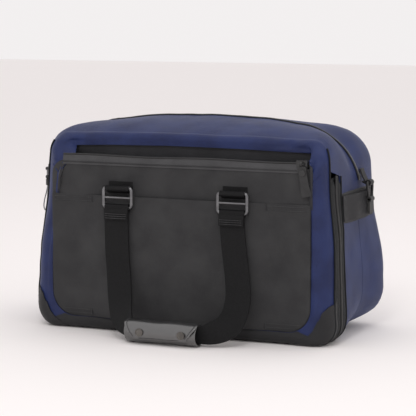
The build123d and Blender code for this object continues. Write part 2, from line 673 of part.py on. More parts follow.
def cord_radii(route):
    """Largest tangent arc at each corner of the cord's route."""
    radii = []
    for before, here, after in zip(route, route[1:], route[2:]):
        run_in, run_out = here - before, after - here
        turn = math.radians(run_in.get_angle(run_out))
        radii.append(0.45 * min(run_in.length, run_out.length) / math.tan(turn / 2))
    print("cord radii", [round(r, 1) for r in radii])
    return radii


def main_zip():
    """Slider of the main mouth, parked at the low left end of its zip."""
    rise = ZIP_BEND_Z - ZIP_END_Z
    run = ZIP_END_Y - 2 - ZIP_TOP_Y
    tilt = math.degrees(math.atan(run / rise))
    y = ZIP_TOP_Y + run * (ZIP_BEND_Z - MAIN_SLIDER_Z) / (rise - 6)
    place = side_zip_place(MAIN_SLIDER_Z, y, tilt)
    parts["main_slider"] = mirror_x(place * zip_slider(False))
    pin = place * Pos(0, 0, PIN_HEIGHT)
    tab = Rot(0, -90, 0) * pull_tab(MAIN_PULL_L, MAIN_PULL_W, SLIDER_T)
    parts["main_puller"] = mirror_x(pin * tab)


lid()
top_front()
rear_shell()
gusset()
front_shell()
pocket()
handles()
grip_closure()
side_handles()
strap_rings()
laptop_zip()
gusset_zip()
main_zip()

os.makedirs("parts", exist_ok=True)
for name, shape in parts.items():
    export_step(Compound(shape.solids()) if len(shape.solids()) > 1 else shape.solids()[0],
                "parts/" + name + ".step")
print(len(parts), "nodes written")
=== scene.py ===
# %% [markdown]
# # A soft carry-on bag, dressed cell by cell
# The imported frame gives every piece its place. Each cell below takes one sewn, cast or folded piece of
# the real bag, says how it could be made, and builds it in metres around that frame.

# %% Load the frame
import math

import bmesh
import bpy
from mathutils import Matrix, Vector, noise


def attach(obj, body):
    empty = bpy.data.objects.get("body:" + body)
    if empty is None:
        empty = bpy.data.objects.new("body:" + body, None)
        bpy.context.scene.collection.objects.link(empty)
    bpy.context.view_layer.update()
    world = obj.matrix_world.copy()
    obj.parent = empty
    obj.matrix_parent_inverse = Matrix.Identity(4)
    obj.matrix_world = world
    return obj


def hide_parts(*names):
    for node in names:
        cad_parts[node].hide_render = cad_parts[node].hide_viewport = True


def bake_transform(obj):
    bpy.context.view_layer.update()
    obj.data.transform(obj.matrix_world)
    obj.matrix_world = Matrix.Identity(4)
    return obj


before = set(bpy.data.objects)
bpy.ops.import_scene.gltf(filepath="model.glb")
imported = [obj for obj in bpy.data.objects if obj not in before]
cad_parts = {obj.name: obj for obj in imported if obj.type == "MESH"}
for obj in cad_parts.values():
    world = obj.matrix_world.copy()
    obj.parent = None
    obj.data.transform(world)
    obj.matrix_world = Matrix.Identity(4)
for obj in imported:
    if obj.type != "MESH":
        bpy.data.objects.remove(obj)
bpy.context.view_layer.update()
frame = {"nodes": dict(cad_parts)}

MM = 0.001

# %% [markdown]
# ## Camera
# A long lens from far away flattens the bag the way a catalogue view does. The eye stands to the right
# and a little above, and the frame is square.

# %% Camera
AZIMUTH, ELEVATION = math.radians(23.606), math.radians(6.734)
DISTANCE, LENS, SENSOR = 2.65, 153.9, 36.0
TARGET = Vector((-0.0016, 0.0, 0.1746))
toward = Vector((-math.sin(AZIMUTH) * math.cos(ELEVATION),
                 math.cos(AZIMUTH) * math.cos(ELEVATION), -math.sin(ELEVATION)))
lens = bpy.data.cameras.new("studio_camera")
lens.lens, lens.sensor_width = LENS, SENSOR
lens.clip_end = 20.0
camera = bpy.data.objects.new("studio_camera", lens)
camera.location = TARGET - toward * DISTANCE
camera.rotation_euler = toward.to_track_quat("-Z", "Y").to_euler()
bpy.context.scene.collection.objects.link(camera)
bpy.context.scene.camera = camera
bpy.context.scene.view_settings.view_transform = "Standard"

# %% [markdown]
# ## Small helpers
# `fresh` leaves nothing selected, because an operator acts on all that is selected. `grid` adds one flat
# grid primitive and lays its points over a surface that a function describes: that is how every cloth
# panel starts, since a sewn panel is a flat cut that the pattern bends.

# %% Helpers
def fresh():
    """Nothing selected and nothing in edit mode."""
    if bpy.context.mode != "OBJECT":
        bpy.ops.object.mode_set(mode="OBJECT")
    bpy.ops.object.select_all(action="DESELECT")


def active(piece):
    fresh()
    bpy.context.view_layer.objects.active = piece
    piece.select_set(True)
    return piece


def lerp(a, b, t):
    return a + (b - a) * t


def ease(t):
    """Smooth step from 0 to 1."""
    t = max(0.0, min(1.0, t))
    return t * t * (3 - 2 * t)


def grid(name, columns, rows, place):
    """Grid primitive whose points go where place(u, v) says, in millimetres."""
    fresh()
    bpy.ops.mesh.primitive_grid_add(x_subdivisions=columns, y_subdivisions=rows, size=1.0)
    piece = bpy.context.object
    piece.name = piece.data.name = name
    for point in piece.data.vertices:
        u, v = point.co.x + 0.5, point.co.y + 0.5
        point.co = Vector(place(min(1.0, max(0.0, u)), min(1.0, max(0.0, v)))) * MM
    return piece


def apply_modifier(piece, kind, **settings):
    active(piece)
    modifier = piece.modifiers.new(kind.lower(), kind)
    for key, value in settings.items():
        setattr(modifier, key, value)
    bpy.ops.object.modifier_apply(modifier=modifier.name)
    return piece


def edit(piece, *operators):
    """Run edit-mode operators on the whole mesh."""
    active(piece)
    bpy.ops.object.mode_set(mode="EDIT")
    bpy.ops.mesh.select_all(action="SELECT")
    for operator, settings in operators:
        operator(**settings)
    bpy.ops.object.mode_set(mode="OBJECT")
    return piece


def closed(piece, distance=0.00005):
    """Weld doubles and point the faces outward."""
    return edit(piece, (bpy.ops.mesh.remove_doubles, {"threshold": distance}),
                (bpy.ops.mesh.normals_make_consistent, {"inside": False}))


def place_all(piece):
    """Put an object's place into its mesh."""
    active(piece)
    bpy.ops.object.transform_apply(location=True, rotation=True, scale=True)
    return piece


def smooth(piece, degrees=40):
    active(piece)
    bpy.ops.object.shade_smooth_by_angle(angle=math.radians(degrees))
    return piece


def joined(name, pieces):
    fresh()
    for piece in pieces:
        piece.select_set(True)
    bpy.context.view_layer.objects.active = pieces[0]
    if len(pieces) > 1:
        bpy.ops.object.join()
    whole = bpy.context.view_layer.objects.active
    whole.name = whole.data.name = name
    return whole


def face_out(piece, outward):
    """Turn an open sheet's faces so that they look along outward(centre)."""
    mesh = bmesh.new()
    mesh.from_mesh(piece.data)
    wrong = [f for f in mesh.faces if f.normal.dot(outward(f.calc_center_median())) < 0]
    if len(wrong) > len(mesh.faces) / 2:
        bmesh.ops.reverse_faces(mesh, faces=mesh.faces)
    mesh.to_mesh(piece.data)
    mesh.free()
    return piece


def from_core(centre):
    """Away from the bag's middle."""
    return Vector((centre.x, centre.y, centre.z - 0.15))


FOOT_SOFT = 2.5 * MM           # cloth nearer the floor than this is pressed up rather than through it


def dress(piece, body, *materials):
    for vertex in piece.data.vertices:
        if vertex.co.z < FOOT_SOFT:
            vertex.co.z = FOOT_SOFT * math.exp((vertex.co.z - FOOT_SOFT) / FOOT_SOFT)
    piece.data.materials.clear()
    for material in materials:
        piece.data.materials.append(material)
    if body:
        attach(piece, body)
    return piece


def cube(name, low, high, bevel=0.0, segments=3):
    """Box from its corners in millimetres, with bevelled edges."""
    fresh()
    centre = [(a + b) / 2 * MM for a, b in zip(low, high)]
    bpy.ops.mesh.primitive_cube_add(size=1.0, location=centre)
    piece = bpy.context.object
    piece.name = piece.data.name = name
    piece.scale = [(b - a) * MM for a, b in zip(low, high)]
    place_all(piece)
    if bevel:
        apply_modifier(piece, "BEVEL", width=bevel * MM, segments=segments, limit_method="ANGLE")
    return piece


def rod(name, start, end, radius, sides=16):
    """Round bar between two points in millimetres."""
    fresh()
    start, end = Vector(start) * MM, Vector(end) * MM
    along = end - start
    bpy.ops.mesh.primitive_cylinder_add(
        vertices=sides, radius=radius * MM, depth=along.length, location=(start + end) / 2,
        rotation=along.to_track_quat("Z", "Y").to_euler())
    piece = bpy.context.object
    piece.name = piece.data.name = name
    return place_all(piece)


# %% [markdown]
# ## Finishes
# Colours are given as the hex of the finish and turned to linear once. Each cloth is a weave of crossed
# sine threads at a real spacing, coarsened until it shows, under a slow noise for uneven dye and wear.

# %% Material helpers
def tone(code):
    """sRGB hex to linear RGBA."""
    out = []
    for k in (0, 2, 4):
        c = int(code[k:k + 2], 16) / 255
        out.append(c / 12.92 if c <= 0.04045 else ((c + 0.055) / 1.055) ** 2.4)
    return (*out, 1.0)


def add(tree, kind, settings=None, inputs=None, links=None):
    """One node: attributes, socket values, and links from (node, output) to an input."""
    made = tree.nodes.new(kind)
    for key, value in (settings or {}).items():
        setattr(made, key, value)
    for key, value in (inputs or {}).items():
        made.inputs[key].default_value = value
    for key, (source, output) in (links or {}).items():
        tree.links.new(source.outputs[output], made.inputs[key])
    return made


def start_material(name, roughness, **shader_inputs):
    material = bpy.data.materials.new(name)
    material.use_nodes = True
    tree = material.node_tree
    shader = tree.nodes["Principled BSDF"]
    shader.inputs["Roughness"].default_value = roughness
    for key, value in shader_inputs.items():
        shader.inputs[key.replace("_", " ")].default_value = value
    place = add(tree, "ShaderNodeTexCoord")
    return material, tree, shader, place


def uneven(tree, place, size_mm, detail=3.0):
    """Noise with patches about size_mm across."""
    return add(tree, "ShaderNodeTexNoise", inputs={"Scale": 1000.0 / size_mm, "Detail": detail},
               links={"Vector": (place, "Object")})


def cloth(name, dark, light, thread_mm, roughness, bump, sheen, sheen_tint="FFFFFF", twill=False,
          specular=0.4):
    """Woven nylon or polyester: two crossed sets of threads over uneven dye."""
    material, tree, shader, place = start_material(
        name, roughness, Sheen_Weight=sheen, Sheen_Roughness=0.35, Sheen_Tint=tone(sheen_tint),
        Specular_IOR_Level=specular)
    scale = 2 * math.pi * 1000.0 / (thread_mm * 20)
    split = add(tree, "ShaderNodeSeparateXYZ", links={"Vector": (place, "Object")})
    across = add(tree, "ShaderNodeMath", {"operation": "ADD"}, links={0: (split, "X"), 1: (split, "Y")})
    if twill:
        across = add(tree, "ShaderNodeMath", {"operation": "ADD"},
                     links={0: (across, 0), 1: (split, "Z")})
    waves = []
    for source, output in ((across, 0), (split, "Z")):
        phase = add(tree, "ShaderNodeMath", {"operation": "MULTIPLY"},
                    {1: 2 * math.pi * 1000.0 / thread_mm}, {0: (source, output)})
        waves.append(add(tree, "ShaderNodeMath", {"operation": "SINE"}, links={0: (phase, 0)}))
    weave = add(tree, "ShaderNodeMath", {"operation": "MULTIPLY"},
                links={0: (waves[0], 0), 1: (waves[1], 0)})
    dye = uneven(tree, place, 35.0)
    fine = uneven(tree, place, 1.6, 5.0)
    mixed = add(tree, "ShaderNodeMath", {"operation": "MULTIPLY_ADD"}, {1: 0.22}, {0: (weave, 0), 2: (dye, "Fac")})
    grain = add(tree, "ShaderNodeMath", {"operation": "MULTIPLY_ADD"}, {1: 0.35}, {0: (fine, "Fac"), 2: (mixed, 0)})
    ramp = add(tree, "ShaderNodeValToRGB", links={"Fac": (grain, 0)})
    ramp.color_ramp.elements[0].position, ramp.color_ramp.elements[1].position = 0.4, 0.95
    ramp.color_ramp.elements[0].color, ramp.color_ramp.elements[1].color = tone(dark), tone(light)
    tree.links.new(ramp.outputs["Color"], shader.inputs["Base Color"])
    relief = add(tree, "ShaderNodeBump", inputs={"Strength": bump, "Distance": thread_mm * MM * 0.3},
                 links={"Height": (weave, 0)})
    slack = uneven(tree, place, 14.0, 2.0)
    drape = add(tree, "ShaderNodeBump", inputs={"Strength": 0.25, "Distance": 0.0012},
                links={"Height": (slack, "Fac"), "Normal": (relief, "Normal")})
    tree.links.new(drape.outputs["Normal"], shader.inputs["Normal"])
    return material


def solid_finish(name, dark, light, size_mm, roughness, bump=0.15, metallic=0.0, coat=0.0, ior=None):
    """Cast, moulded or coated finish: fine grain, faint cloudiness, roughness that varies."""
    material, tree, shader, place = start_material(name, roughness, Metallic=metallic, Coat_Weight=coat)
    if ior:
        shader.inputs["IOR"].default_value = ior
    cloud = uneven(tree, place, 9.0)
    ramp = add(tree, "ShaderNodeValToRGB", links={"Fac": (cloud, "Fac")})
    ramp.color_ramp.elements[0].position, ramp.color_ramp.elements[1].position = 0.35, 0.7
    ramp.color_ramp.elements[0].color, ramp.color_ramp.elements[1].color = tone(dark), tone(light)
    tree.links.new(ramp.outputs["Color"], shader.inputs["Base Color"])
    grit = uneven(tree, place, size_mm, 4.0)
    span = add(tree, "ShaderNodeMapRange",
               inputs={"To Min": roughness - 0.06, "To Max": roughness + 0.08}, links={"Value": (grit, "Fac")})
    tree.links.new(span.outputs[0], shader.inputs["Roughness"])
    relief = add(tree, "ShaderNodeBump", inputs={"Strength": bump, "Distance": size_mm * MM * 0.2},
                 links={"Height": (grit, "Fac")})
    tree.links.new(relief.outputs["Normal"], shader.inputs["Normal"])
    return material


def leather_finish(name, dark, light, grain_mm, roughness):
    """Smooth drum-dyed leather: small cells pressed by creases, satin topcoat."""
    material, tree, shader, place = start_material(
        name, roughness, Coat_Weight=1.0, Coat_Roughness=0.2, Coat_IOR=1.9, Specular_IOR_Level=0.8)
    cells = add(tree, "ShaderNodeTexVoronoi", {"feature": "DISTANCE_TO_EDGE"},
                {"Scale": 1000.0 / grain_mm}, {"Vector": (place, "Object")})
    cloud = uneven(tree, place, 20.0)
    ramp = add(tree, "ShaderNodeValToRGB", links={"Fac": (cloud, "Fac")})
    ramp.color_ramp.elements[0].position, ramp.color_ramp.elements[1].position = 0.35, 0.7
    ramp.color_ramp.elements[0].color, ramp.color_ramp.elements[1].color = tone(dark), tone(light)
    tree.links.new(ramp.outputs["Color"], shader.inputs["Base Color"])
    relief = add(tree, "ShaderNodeBump", inputs={"Strength": 0.25, "Distance": grain_mm * MM * 0.2},
                 links={"Height": (cells, "Distance")})
    folds = uneven(tree, place, 12.0, 2.0)
    crease = add(tree, "ShaderNodeBump", inputs={"Strength": 0.35, "Distance": 0.0012},
                 links={"Height": (folds, "Fac"), "Normal": (relief, "Normal")})
    tree.links.new(crease.outputs["Normal"], shader.inputs["Normal"])
    return material


def webbing_finish(name, dark, light, rib_mm, axis):
    """Woven webbing: ribs that cross the strap, and small picks along them."""
    material, tree, shader, place = start_material(name, 0.55, Specular_IOR_Level=0.22)
    split = add(tree, "ShaderNodeSeparateXYZ", links={"Vector": (place, "Object")})
    bars = []
    for output, size in ((axis, rib_mm), ("X" if axis != "X" else "Z", rib_mm * 0.9)):
        phase = add(tree, "ShaderNodeMath", {"operation": "MULTIPLY"},
                    {1: 2 * math.pi * 1000.0 / size}, {0: (split, output)})
        bars.append(add(tree, "ShaderNodeMath", {"operation": "SINE"}, links={0: (phase, 0)}))
    weave = add(tree, "ShaderNodeMath", {"operation": "MULTIPLY"}, links={0: (bars[0], 0), 1: (bars[1], 0)})
    fuzz = uneven(tree, place, 2.2, 5.0)
    height = add(tree, "ShaderNodeMath", {"operation": "MULTIPLY_ADD"}, {1: 0.35}, {0: (weave, 0), 2: (fuzz, "Fac")})
    ramp = add(tree, "ShaderNodeValToRGB", links={"Fac": (height, 0)})
    ramp.color_ramp.elements[0].position, ramp.color_ramp.elements[1].position = 0.25, 0.8
    ramp.color_ramp.elements[0].color, ramp.color_ramp.elements[1].color = tone(dark), tone(light)
    tree.links.new(ramp.outputs["Color"], shader.inputs["Base Color"])
    relief = add(tree, "ShaderNodeBump", inputs={"Strength": 0.6, "Distance": rib_mm * MM * 0.35},
                 links={"Height": (weave, 0)})
    tree.links.new(relief.outputs["Normal"], shader.inputs["Normal"])
    return material


# %% [markdown]
# The blue body is a plain woven nylon of about 0.4 mm thread with a satin face: it is drawn at 1.1 mm so
# that it shows. The black front is a heavier ballistic weave. Webbing has ribs of about 1.6 mm.

# %% Materials
BLUE = cloth("satin_woven_nylon_blue", "141D44", "222F5E", 1.1, 0.5, 0.35, 0.08, "7F9AE0", specular=0.3)
BLACK = cloth("ballistic_nylon_black", "28282A", "3A3A3B", 1.6, 0.66, 0.6, 0.06, "C8C8CC", specular=0.35)
COATED = cloth("coated_nylon_black", "1A1A1C", "262628", 1.2, 0.55, 0.4, 0.03, specular=0.35)
STRIP = cloth("gusset_tape_black", "101113", "1A1C1F", 1.2, 0.7, 0.5, 0.03, specular=0.25)
LINING = cloth("polyester_lining_charcoal", "1C1C1F", "2A2A2E", 0.9, 0.6, 0.3, 0.2)
FACING = cloth("zip_tape_grey", "38383A", "4A4A4C", 1.0, 0.6, 0.6, 0.2)
TAPE_GREY = cloth("zip_tape_pale", "5A5A58", "77766F", 1.0, 0.5, 0.5, 0.2)
WEB = webbing_finish("woven_webbing_black", "060607", "1A1A1C", 1.7, "Z")
WEB_FLAT = webbing_finish("woven_webbing_charcoal", "1C1C1E", "323235", 1.7, "Y")
COIL = solid_finish("nylon_coil_black", "101011", "1C1C1E", 0.8, 0.42)
GUNMETAL = solid_finish("gunmetal_plated_die_casting", "6E6E70", "828284", 0.5, 0.36, 0.08, metallic=1.0)
ENAMEL = solid_finish("black_enamelled_zinc", "1C1C1D", "2B2B2C", 0.5, 0.35, 0.1, ior=1.55)
NICKEL = solid_finish("antique_nickel_snap", "5C5956", "6E6B67", 0.6, 0.36, 0.1, metallic=0.85)
ACETAL = solid_finish("moulded_acetal_black", "1B1B1C", "2A2A2B", 0.6, 0.4, 0.2, ior=1.48)
RUBBER = solid_finish("moulded_rubber_black", "1A1A1B", "272728", 0.7, 0.55, 0.3)
LEATHER = leather_finish("smooth_leather_black", "151516", "222223", 1.3, 0.4)
THREAD = solid_finish("bonded_nylon_thread", "2E2E30", "444446", 0.5, 0.5)
BOARD = solid_finish("polypropylene_board", "1D1D1E", "262627", 1.2, 0.5)
CORD = cloth("braided_cord_grey", "6A6B6E", "94959A", 0.9, 0.6, 0.6, 0.2)

# %% [markdown]
# ## The shape of the bag
# Every cloth panel is cut from one shape: cross-sections stacked from front to back. A section has a
# flat foot, big soft lower corners, sides that lean in, shoulders that are tight at the front fold and
# slump in the middle, and a low arched crown. `section` gives the point a share s of the way round.

# %% Body shape
HALF_FOOT, LEAN = 238.0, 17.0 / 299.0
CROWN, CROWN_Y = 313.0, 8.0
BACK_Y, BACK_R = 112.0, 35.0
SIDE_GUSSET_TOP = 255.0
COUNTS = (14, 12, 18, 14, 20)          # samples on half the foot, corner, side, shoulder, half the crown


def half_width(z):
    return HALF_FOOT - LEAN * z


def crown_height(y):
    return CROWN - 0.00264 * (y - CROWN_Y) ** 2


def shoulder_radius(y):
    return 25 + 27 * ease((y + 90) / 190) + 50 * math.exp(-((y - 5) / 45) ** 2)


def corner_radius(y):
    """The reinforced front keeps a tight lower corner; the soft rear rounds off."""
    return lerp(31.0, 66.0, ease((y + 75) / 120))


def belly(y, z):
    """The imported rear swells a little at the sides, low down."""
    return 6.0 * ease((y + 30) / 120) * math.exp(-((z - 95) / 70) ** 2)


def slump(point, amount=1.0):
    """Soft unevenness of stuffed cloth, by place."""
    x, y, z = point
    p = Vector((x, y, z)) / 70.0
    x += 13.0 * ease((z - 90) / 140) * ease((-x - 100) / 90) * (1 - ease((y + 112) / 44))
    big = noise.noise_vector(p) * 2.2
    small = noise.noise_vector(p * 3.1 + Vector((7, 3, 1))) * 0.7
    lift = min(1.0, z / 25.0)
    push = (big + small) * amount * lift
    heel = 12.0 * ease((178 - z) / 95) * ease(z / 30) * ease((y - 5) / 75) * ease((abs(x) - 120) / 80)
    x += math.copysign(heel, x)
    return (x + push.x, y + push.y, z + push.z * 0.8)


def half_section(y, inset=0.0):
    """Right half of the section at y, from the middle of the foot up to the middle of the crown."""
    radius = shoulder_radius(y)
    foot = inset
    top = crown_height(y) - inset
    drop = 3 + 5 * math.exp(-((y - CROWN_Y) / 70) ** 2)
    corner = corner_radius(y) - inset * 0.5
    low_half = half_width(foot + corner) - inset
    high = top - drop
    high_half = half_width(high - radius) - inset
    points = []
    n_foot, n_corner, n_side, n_shoulder, n_crown = COUNTS
    for k in range(n_foot):
        points.append((lerp(0, low_half - corner, k / n_foot), foot))
    for k in range(n_corner):
        a = math.radians(-90 + 90 * k / n_corner)
        points.append((low_half - corner + corner * math.cos(a), foot + corner + corner * math.sin(a)))
    for k in range(n_side):
        t = k / n_side
        z = lerp(foot + corner, high - radius, t)
        points.append((lerp(low_half, high_half, t) + belly(y, z) * math.sin(math.pi * t), z))
    for k in range(n_shoulder):
        a = math.radians(90 * k / n_shoulder)
        points.append((high_half - radius + radius * math.cos(a), high - radius + radius * math.sin(a)))
    for k in range(n_crown + 1):
        t = k / n_crown
        x = (high_half - radius) * (1 - t)
        points.append((x, high + drop * (1 - (1 - t) ** 2)))
    return points


HALF_SAMPLES = sum(COUNTS)


def section(y, s, inset=0.0):
    """Point a share s round the whole section, from the middle of the foot, right side first."""
    half = half_section(y, inset)
    place = s * 2 * HALF_SAMPLES
    mirrored = place > HALF_SAMPLES
    if mirrored:
        place = 2 * HALF_SAMPLES - place
    low = min(int(place), HALF_SAMPLES - 1)
    t = place - low
    x = lerp(half[low][0], half[low + 1][0], t)
    z = lerp(half[low][1], half[low + 1][1], t)
    return (-x if mirrored else x), z


def zip_line(z):
    """How far back the main zip lies at a height: over the crown, down both sides, then a seam."""
    if z >= 295:
        return 2.0
    if z >= 222:
        return lerp(25.0, 2.0, (z - 222) / 73.0)
    return lerp(16.0, 25.0, ease((z - 190) / 32.0))


RING = 2 * HALF_SAMPLES
print("section samples", RING)

# %% [markdown]
# ## Front half of the body
# This blue skin runs from the front fold back to the zip. On the sides it stops at the black gusset
# strip, so its front edge steps back from the fold to the strip over a few millimetres of height.

# %% Front body skin
FOLD_Y, LIP_Y, GUSSET_ZIP, GUSSET_BACK = -90.0, -81.0, -72.0, -54.0


def half_index(s):
    """How many samples up the half section a share s is."""
    place = s * RING
    return RING - place if place > HALF_SAMPLES else place


def crownness(s):
    """0 on the foot and sides, easing to 1 over the shoulder: 1 all along the crown."""
    return ease((half_index(s) - sum(COUNTS[:3])) / COUNTS[3])


def skin_front_edge(s, z):
    """The skin starts behind the strip low down, at the fold higher up, further back on the crown."""
    return lerp(GUSSET_BACK, FOLD_Y, ease((z - 234) / 17.0)) + (LIP_Y - FOLD_Y) * crownness(s)


def front_skin(u, v):
    x0, z0 = section(-60, u)
    start = skin_front_edge(u, z0)
    y = lerp(start, zip_line(section(5, u)[1]) - 0.4, v)
    x, z = section(y, u)
    return slump((x, y, z))


def wrap_seam(piece):
    """Weld the two edges where a ring of cloth meets itself."""
    return edit(piece, (bpy.ops.mesh.remove_doubles, {"threshold": 0.00002}))


def thicken(piece, thickness, inner=0, rim=0):
    """Give a sheet its thickness on the inside, with the lining on its inner face."""
    return apply_modifier(piece, "SOLIDIFY", thickness=thickness * MM, offset=-1.0,
                          material_offset=inner, material_offset_rim=rim, use_even_offset=False)


def foot_faces(piece, index, height=4.0):
    """Faces under the bag take another material."""
    for face in piece.data.polygons:
        if face.center.z < height * MM and abs(face.normal.z) > 0.7:
            face.material_index = index


body_front = wrap_seam(grid("body_front_skin", RING, 22, front_skin))
face_out(body_front, from_core)
dress(body_front, None, BLUE, LINING, BLACK)
foot_faces(body_front, 2)
thicken(body_front, 1.6, inner=1)
smooth(body_front, 50)
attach(body_front, "shell")
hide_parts("top_front_panel", "side_panel_left", "side_panel_right", "base_panel")

# %% [markdown]
# ## Rear half of the body
# The rear skin starts at the zip, runs back, rounds the upright edges and closes over the back as one
# shell. It is built in place and is not attached to any body.

# %% Rear body skin
REAR_ROWS = (14, 9, 9)                 # along the side, round the edge, over the back


def rear_skin(u, v):
    total = sum(REAR_ROWS)
    row = v * total
    straight, around, _ = REAR_ROWS
    knee = BACK_Y - BACK_R
    if row <= straight:
        y = lerp(zip_line(section(5, u)[1]) + 0.4, knee, row / straight)
        x, z = section(y, u)
        return slump((x, y, z))
    x, z = section(knee, u)
    middle = 150.0
    if row <= straight + around:
        a = math.radians(90 * (row - straight) / around)
        inset = 1 - math.cos(a)
        y = knee + BACK_R * math.sin(a)
    else:
        inset = 1.0
        y = BACK_Y
    pull_side, pull_foot, pull_top = 34.0 * inset, 40.0 * inset, 30.0 * inset
    pull_z = pull_foot if z < middle else -pull_top
    share_x = min(1.0, abs(x) / (abs(x) + 60)) if abs(x) > 0 else 0.0
    reach = Vector((x / 238.0, (z - middle) / 158.0))
    edge = max(abs(reach.x), abs(reach.y), 1e-6)
    x -= math.copysign(pull_side, x) * ease(abs(reach.x) ** 2.0)
    z += pull_z * ease(abs(reach.y) ** 2.0)
    if row > straight + around:
        k = 1 - (row - straight - around) / REAR_ROWS[2]
        x *= k
        z = middle + (z - middle) * k
        y = BACK_Y + 4.0 * (1 - k * k)
    return slump((x, y, z))


body_rear = wrap_seam(grid("body_rear_skin", RING, sum(REAR_ROWS), rear_skin))
edit(body_rear, (bpy.ops.mesh.remove_doubles, {"threshold": 0.0002}))
face_out(body_rear, from_core)
dress(body_rear, None, BLUE, LINING, BLACK)
foot_faces(body_rear, 2)
thicken(body_rear, 1.6, inner=1)
smooth(body_rear, 50)
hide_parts("top_rear_panel", "back_panel")
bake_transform(body_rear)

# %% [markdown]
# ## The front frame
# One ring of blue cloth turns from the sides onto the front and borders the black pocket. Low down it is
# wide and soft; over the shoulder it narrows and slants back, and along the crown it is the small fold
# at the back of the pocket mouth. It is built in place and is not attached to any body.

# %% Front frame
FRONT_Y, PANEL_HALF, PANEL_LOW, PANEL_R, PANEL_TOP = -112.0, 204.0, 19.0, 36.0, 248.0
MOUTH_BACK_Y = -91.0


def left_cut(z):
    """The pocket's upper left corner is rounded off by this much."""
    rise = min(24.0, max(0.0, z - 226.0))
    return 24.0 - math.sqrt(24.0 ** 2 - rise ** 2)


def window(s):
    """Inner edge of the frame at share s: pocket outline, then up beside the mouth to the fold."""
    index = half_index(s)
    foot, corner, side, shoulder, crown = COUNTS
    centre = PANEL_HALF - PANEL_R
    left = s > 0.5
    if index < foot:
        outer = (half_width(30) - 31) * index / foot
        x = outer if outer < 140 else lerp(140, centre, (outer - 140) / (half_width(30) - 171))
        z = PANEL_LOW
    elif index < foot + corner:
        a = math.radians(-90 + 90 * (index - foot) / corner)
        x, z = centre + PANEL_R * math.cos(a), PANEL_LOW + PANEL_R + PANEL_R * math.sin(a)
    elif index < foot + corner + side:
        t = (index - foot - corner) / side
        z = lerp(PANEL_LOW + PANEL_R, 254, t)
        x = PANEL_HALF - (left_cut(z) if left else 0)
    elif index < foot + corner + side + shoulder:
        t = (index - foot - corner - side) / shoulder
        x, z = lerp(PANEL_HALF - (22 if left else 0), 180 if left else 197, ease(2 * t)), lerp(254, 270, t)
    else:
        t = (index - foot - corner - side - shoulder) / crown
        top = section(FOLD_Y, s)[1]
        x, z = (180 if left else 197) * (1 - t), top - 14
    return (-x if s > 0.5 else x), z


def edge_round(s):
    """How wide the rounding is, seen from the front: tight on the foot and the fold."""
    index = half_index(s)
    up = ease((index - COUNTS[0]) / COUNTS[1])
    return lerp(lerp(8.0, 21.0, up), 9.0, crownness(s))


def frame_surface(s, v, lift=0.0):
    """Front frame surface: v runs from the outer fold at 0 to the inner edge at 1."""
    c = crownness(s)
    outer_y = lerp(FOLD_Y, LIP_Y, c)
    face_y = lerp(FRONT_Y, MOUTH_BACK_Y, c)
    radius = edge_round(s)
    turn = 0.45
    if v < turn:
        a = math.radians(90 * v / turn)
        inset = radius * (1 - math.cos(a))
        y = outer_y + (face_y - outer_y) * math.sin(a)
        x, z = section(outer_y, s, inset - lift)
        y -= lift * math.sin(a)
    else:
        t = (v - turn) / (1 - turn)
        x0, z0 = section(outer_y, s, radius)
        x1, z1 = window(s)
        x, z = lerp(x0, x1, t), lerp(z0, z1, t)
        y = face_y - lift - 1.2 * math.sin(math.pi * t) * (1 - c)
    x, y, z = slump((x, y, z), 1.0 - 0.6 * ease((v - 0.5) * 2))
    gather = ease((z - 238) / 12) * ease((abs(x) - 130) / 40) * ease(v * 4) * ease((1 - v) * 5 + 0.2)
    crumple = noise.noise(Vector((x / 17, z / 11, 4.0))) * 4.5 * gather
    return x, y - crumple, z - 0.6 * crumple


front_frame = wrap_seam(grid("front_frame", RING, 18, frame_surface))
face_out(front_frame, from_core)
dress(front_frame, None, BLUE, LINING)
thicken(front_frame, 2.0, inner=1)
smooth(front_frame, 50)
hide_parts("border_left", "border_right")
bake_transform(front_frame)

# %% [markdown]
# ## Corner patches and foot strip
# Coated black nylon protects the lower corners and the front foot. It is sewn on top of the blue cloth,
# so it is the same surface lifted by its thickness. The patch has an S-shaped edge.

# %% Patches
PATCH_EDGE = ((240.0, 65.0), (228.0, 58.7), (219.0, 49.6), (213.0, 35.0), (207.0, 23.0),
              (198.5, 14.0), (183.6, 6.0), (168.0, -1.0))


def outside_patch_edge(x, z):
    """True where a front point lies on the corner side of the patch's edge."""
    x = abs(x)
    for (x0, z0), (x1, z1) in zip(PATCH_EDGE, PATCH_EDGE[1:]):
        if z1 <= z <= z0:
            return x > lerp(x0, x1, (z0 - z) / (z0 - z1))
    return x > PATCH_EDGE[-1][0] and z <= 0


def patch_reach(s):
    """Largest v on the frame that still lies on the patch."""
    reach = 0.0
    for k in range(121):
        x, _, z = frame_surface(s, k / 120)
        if not outside_patch_edge(x, z):
            break
        reach = k / 120
    return reach


def index_to_share(index):
    return index / RING


PATCH_LOW, PATCH_HIGH = index_to_share(11.3), index_to_share(28.9)


def patch(u, v):
    s = lerp(PATCH_LOW, PATCH_HIGH, u)
    return frame_surface(s, v * max(0.02, patch_reach(s)), lift=1.3)


def mirrored(place):
    """The same surface on the left side."""
    def other(u, v):
        x, y, z = place(u, v)
        return -x, y, z
    return other


for side_name, place in (("right", patch), ("left", mirrored(patch))):
    piece = grid("corner_patch_skin_" + side_name, 60, 14, place)
    face_out(piece, from_core)
    dress(piece, "front_section", COATED)
    thicken(piece, 1.3)
    smooth(piece, 50)
    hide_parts("corner_patch_" + side_name)


def foot_strip(u, v):
    limit = index_to_share(17.2)
    s = lerp(-limit, limit, u)
    return frame_surface(s if s >= 0 else 1 + s, v * 0.985, lift=0.8)


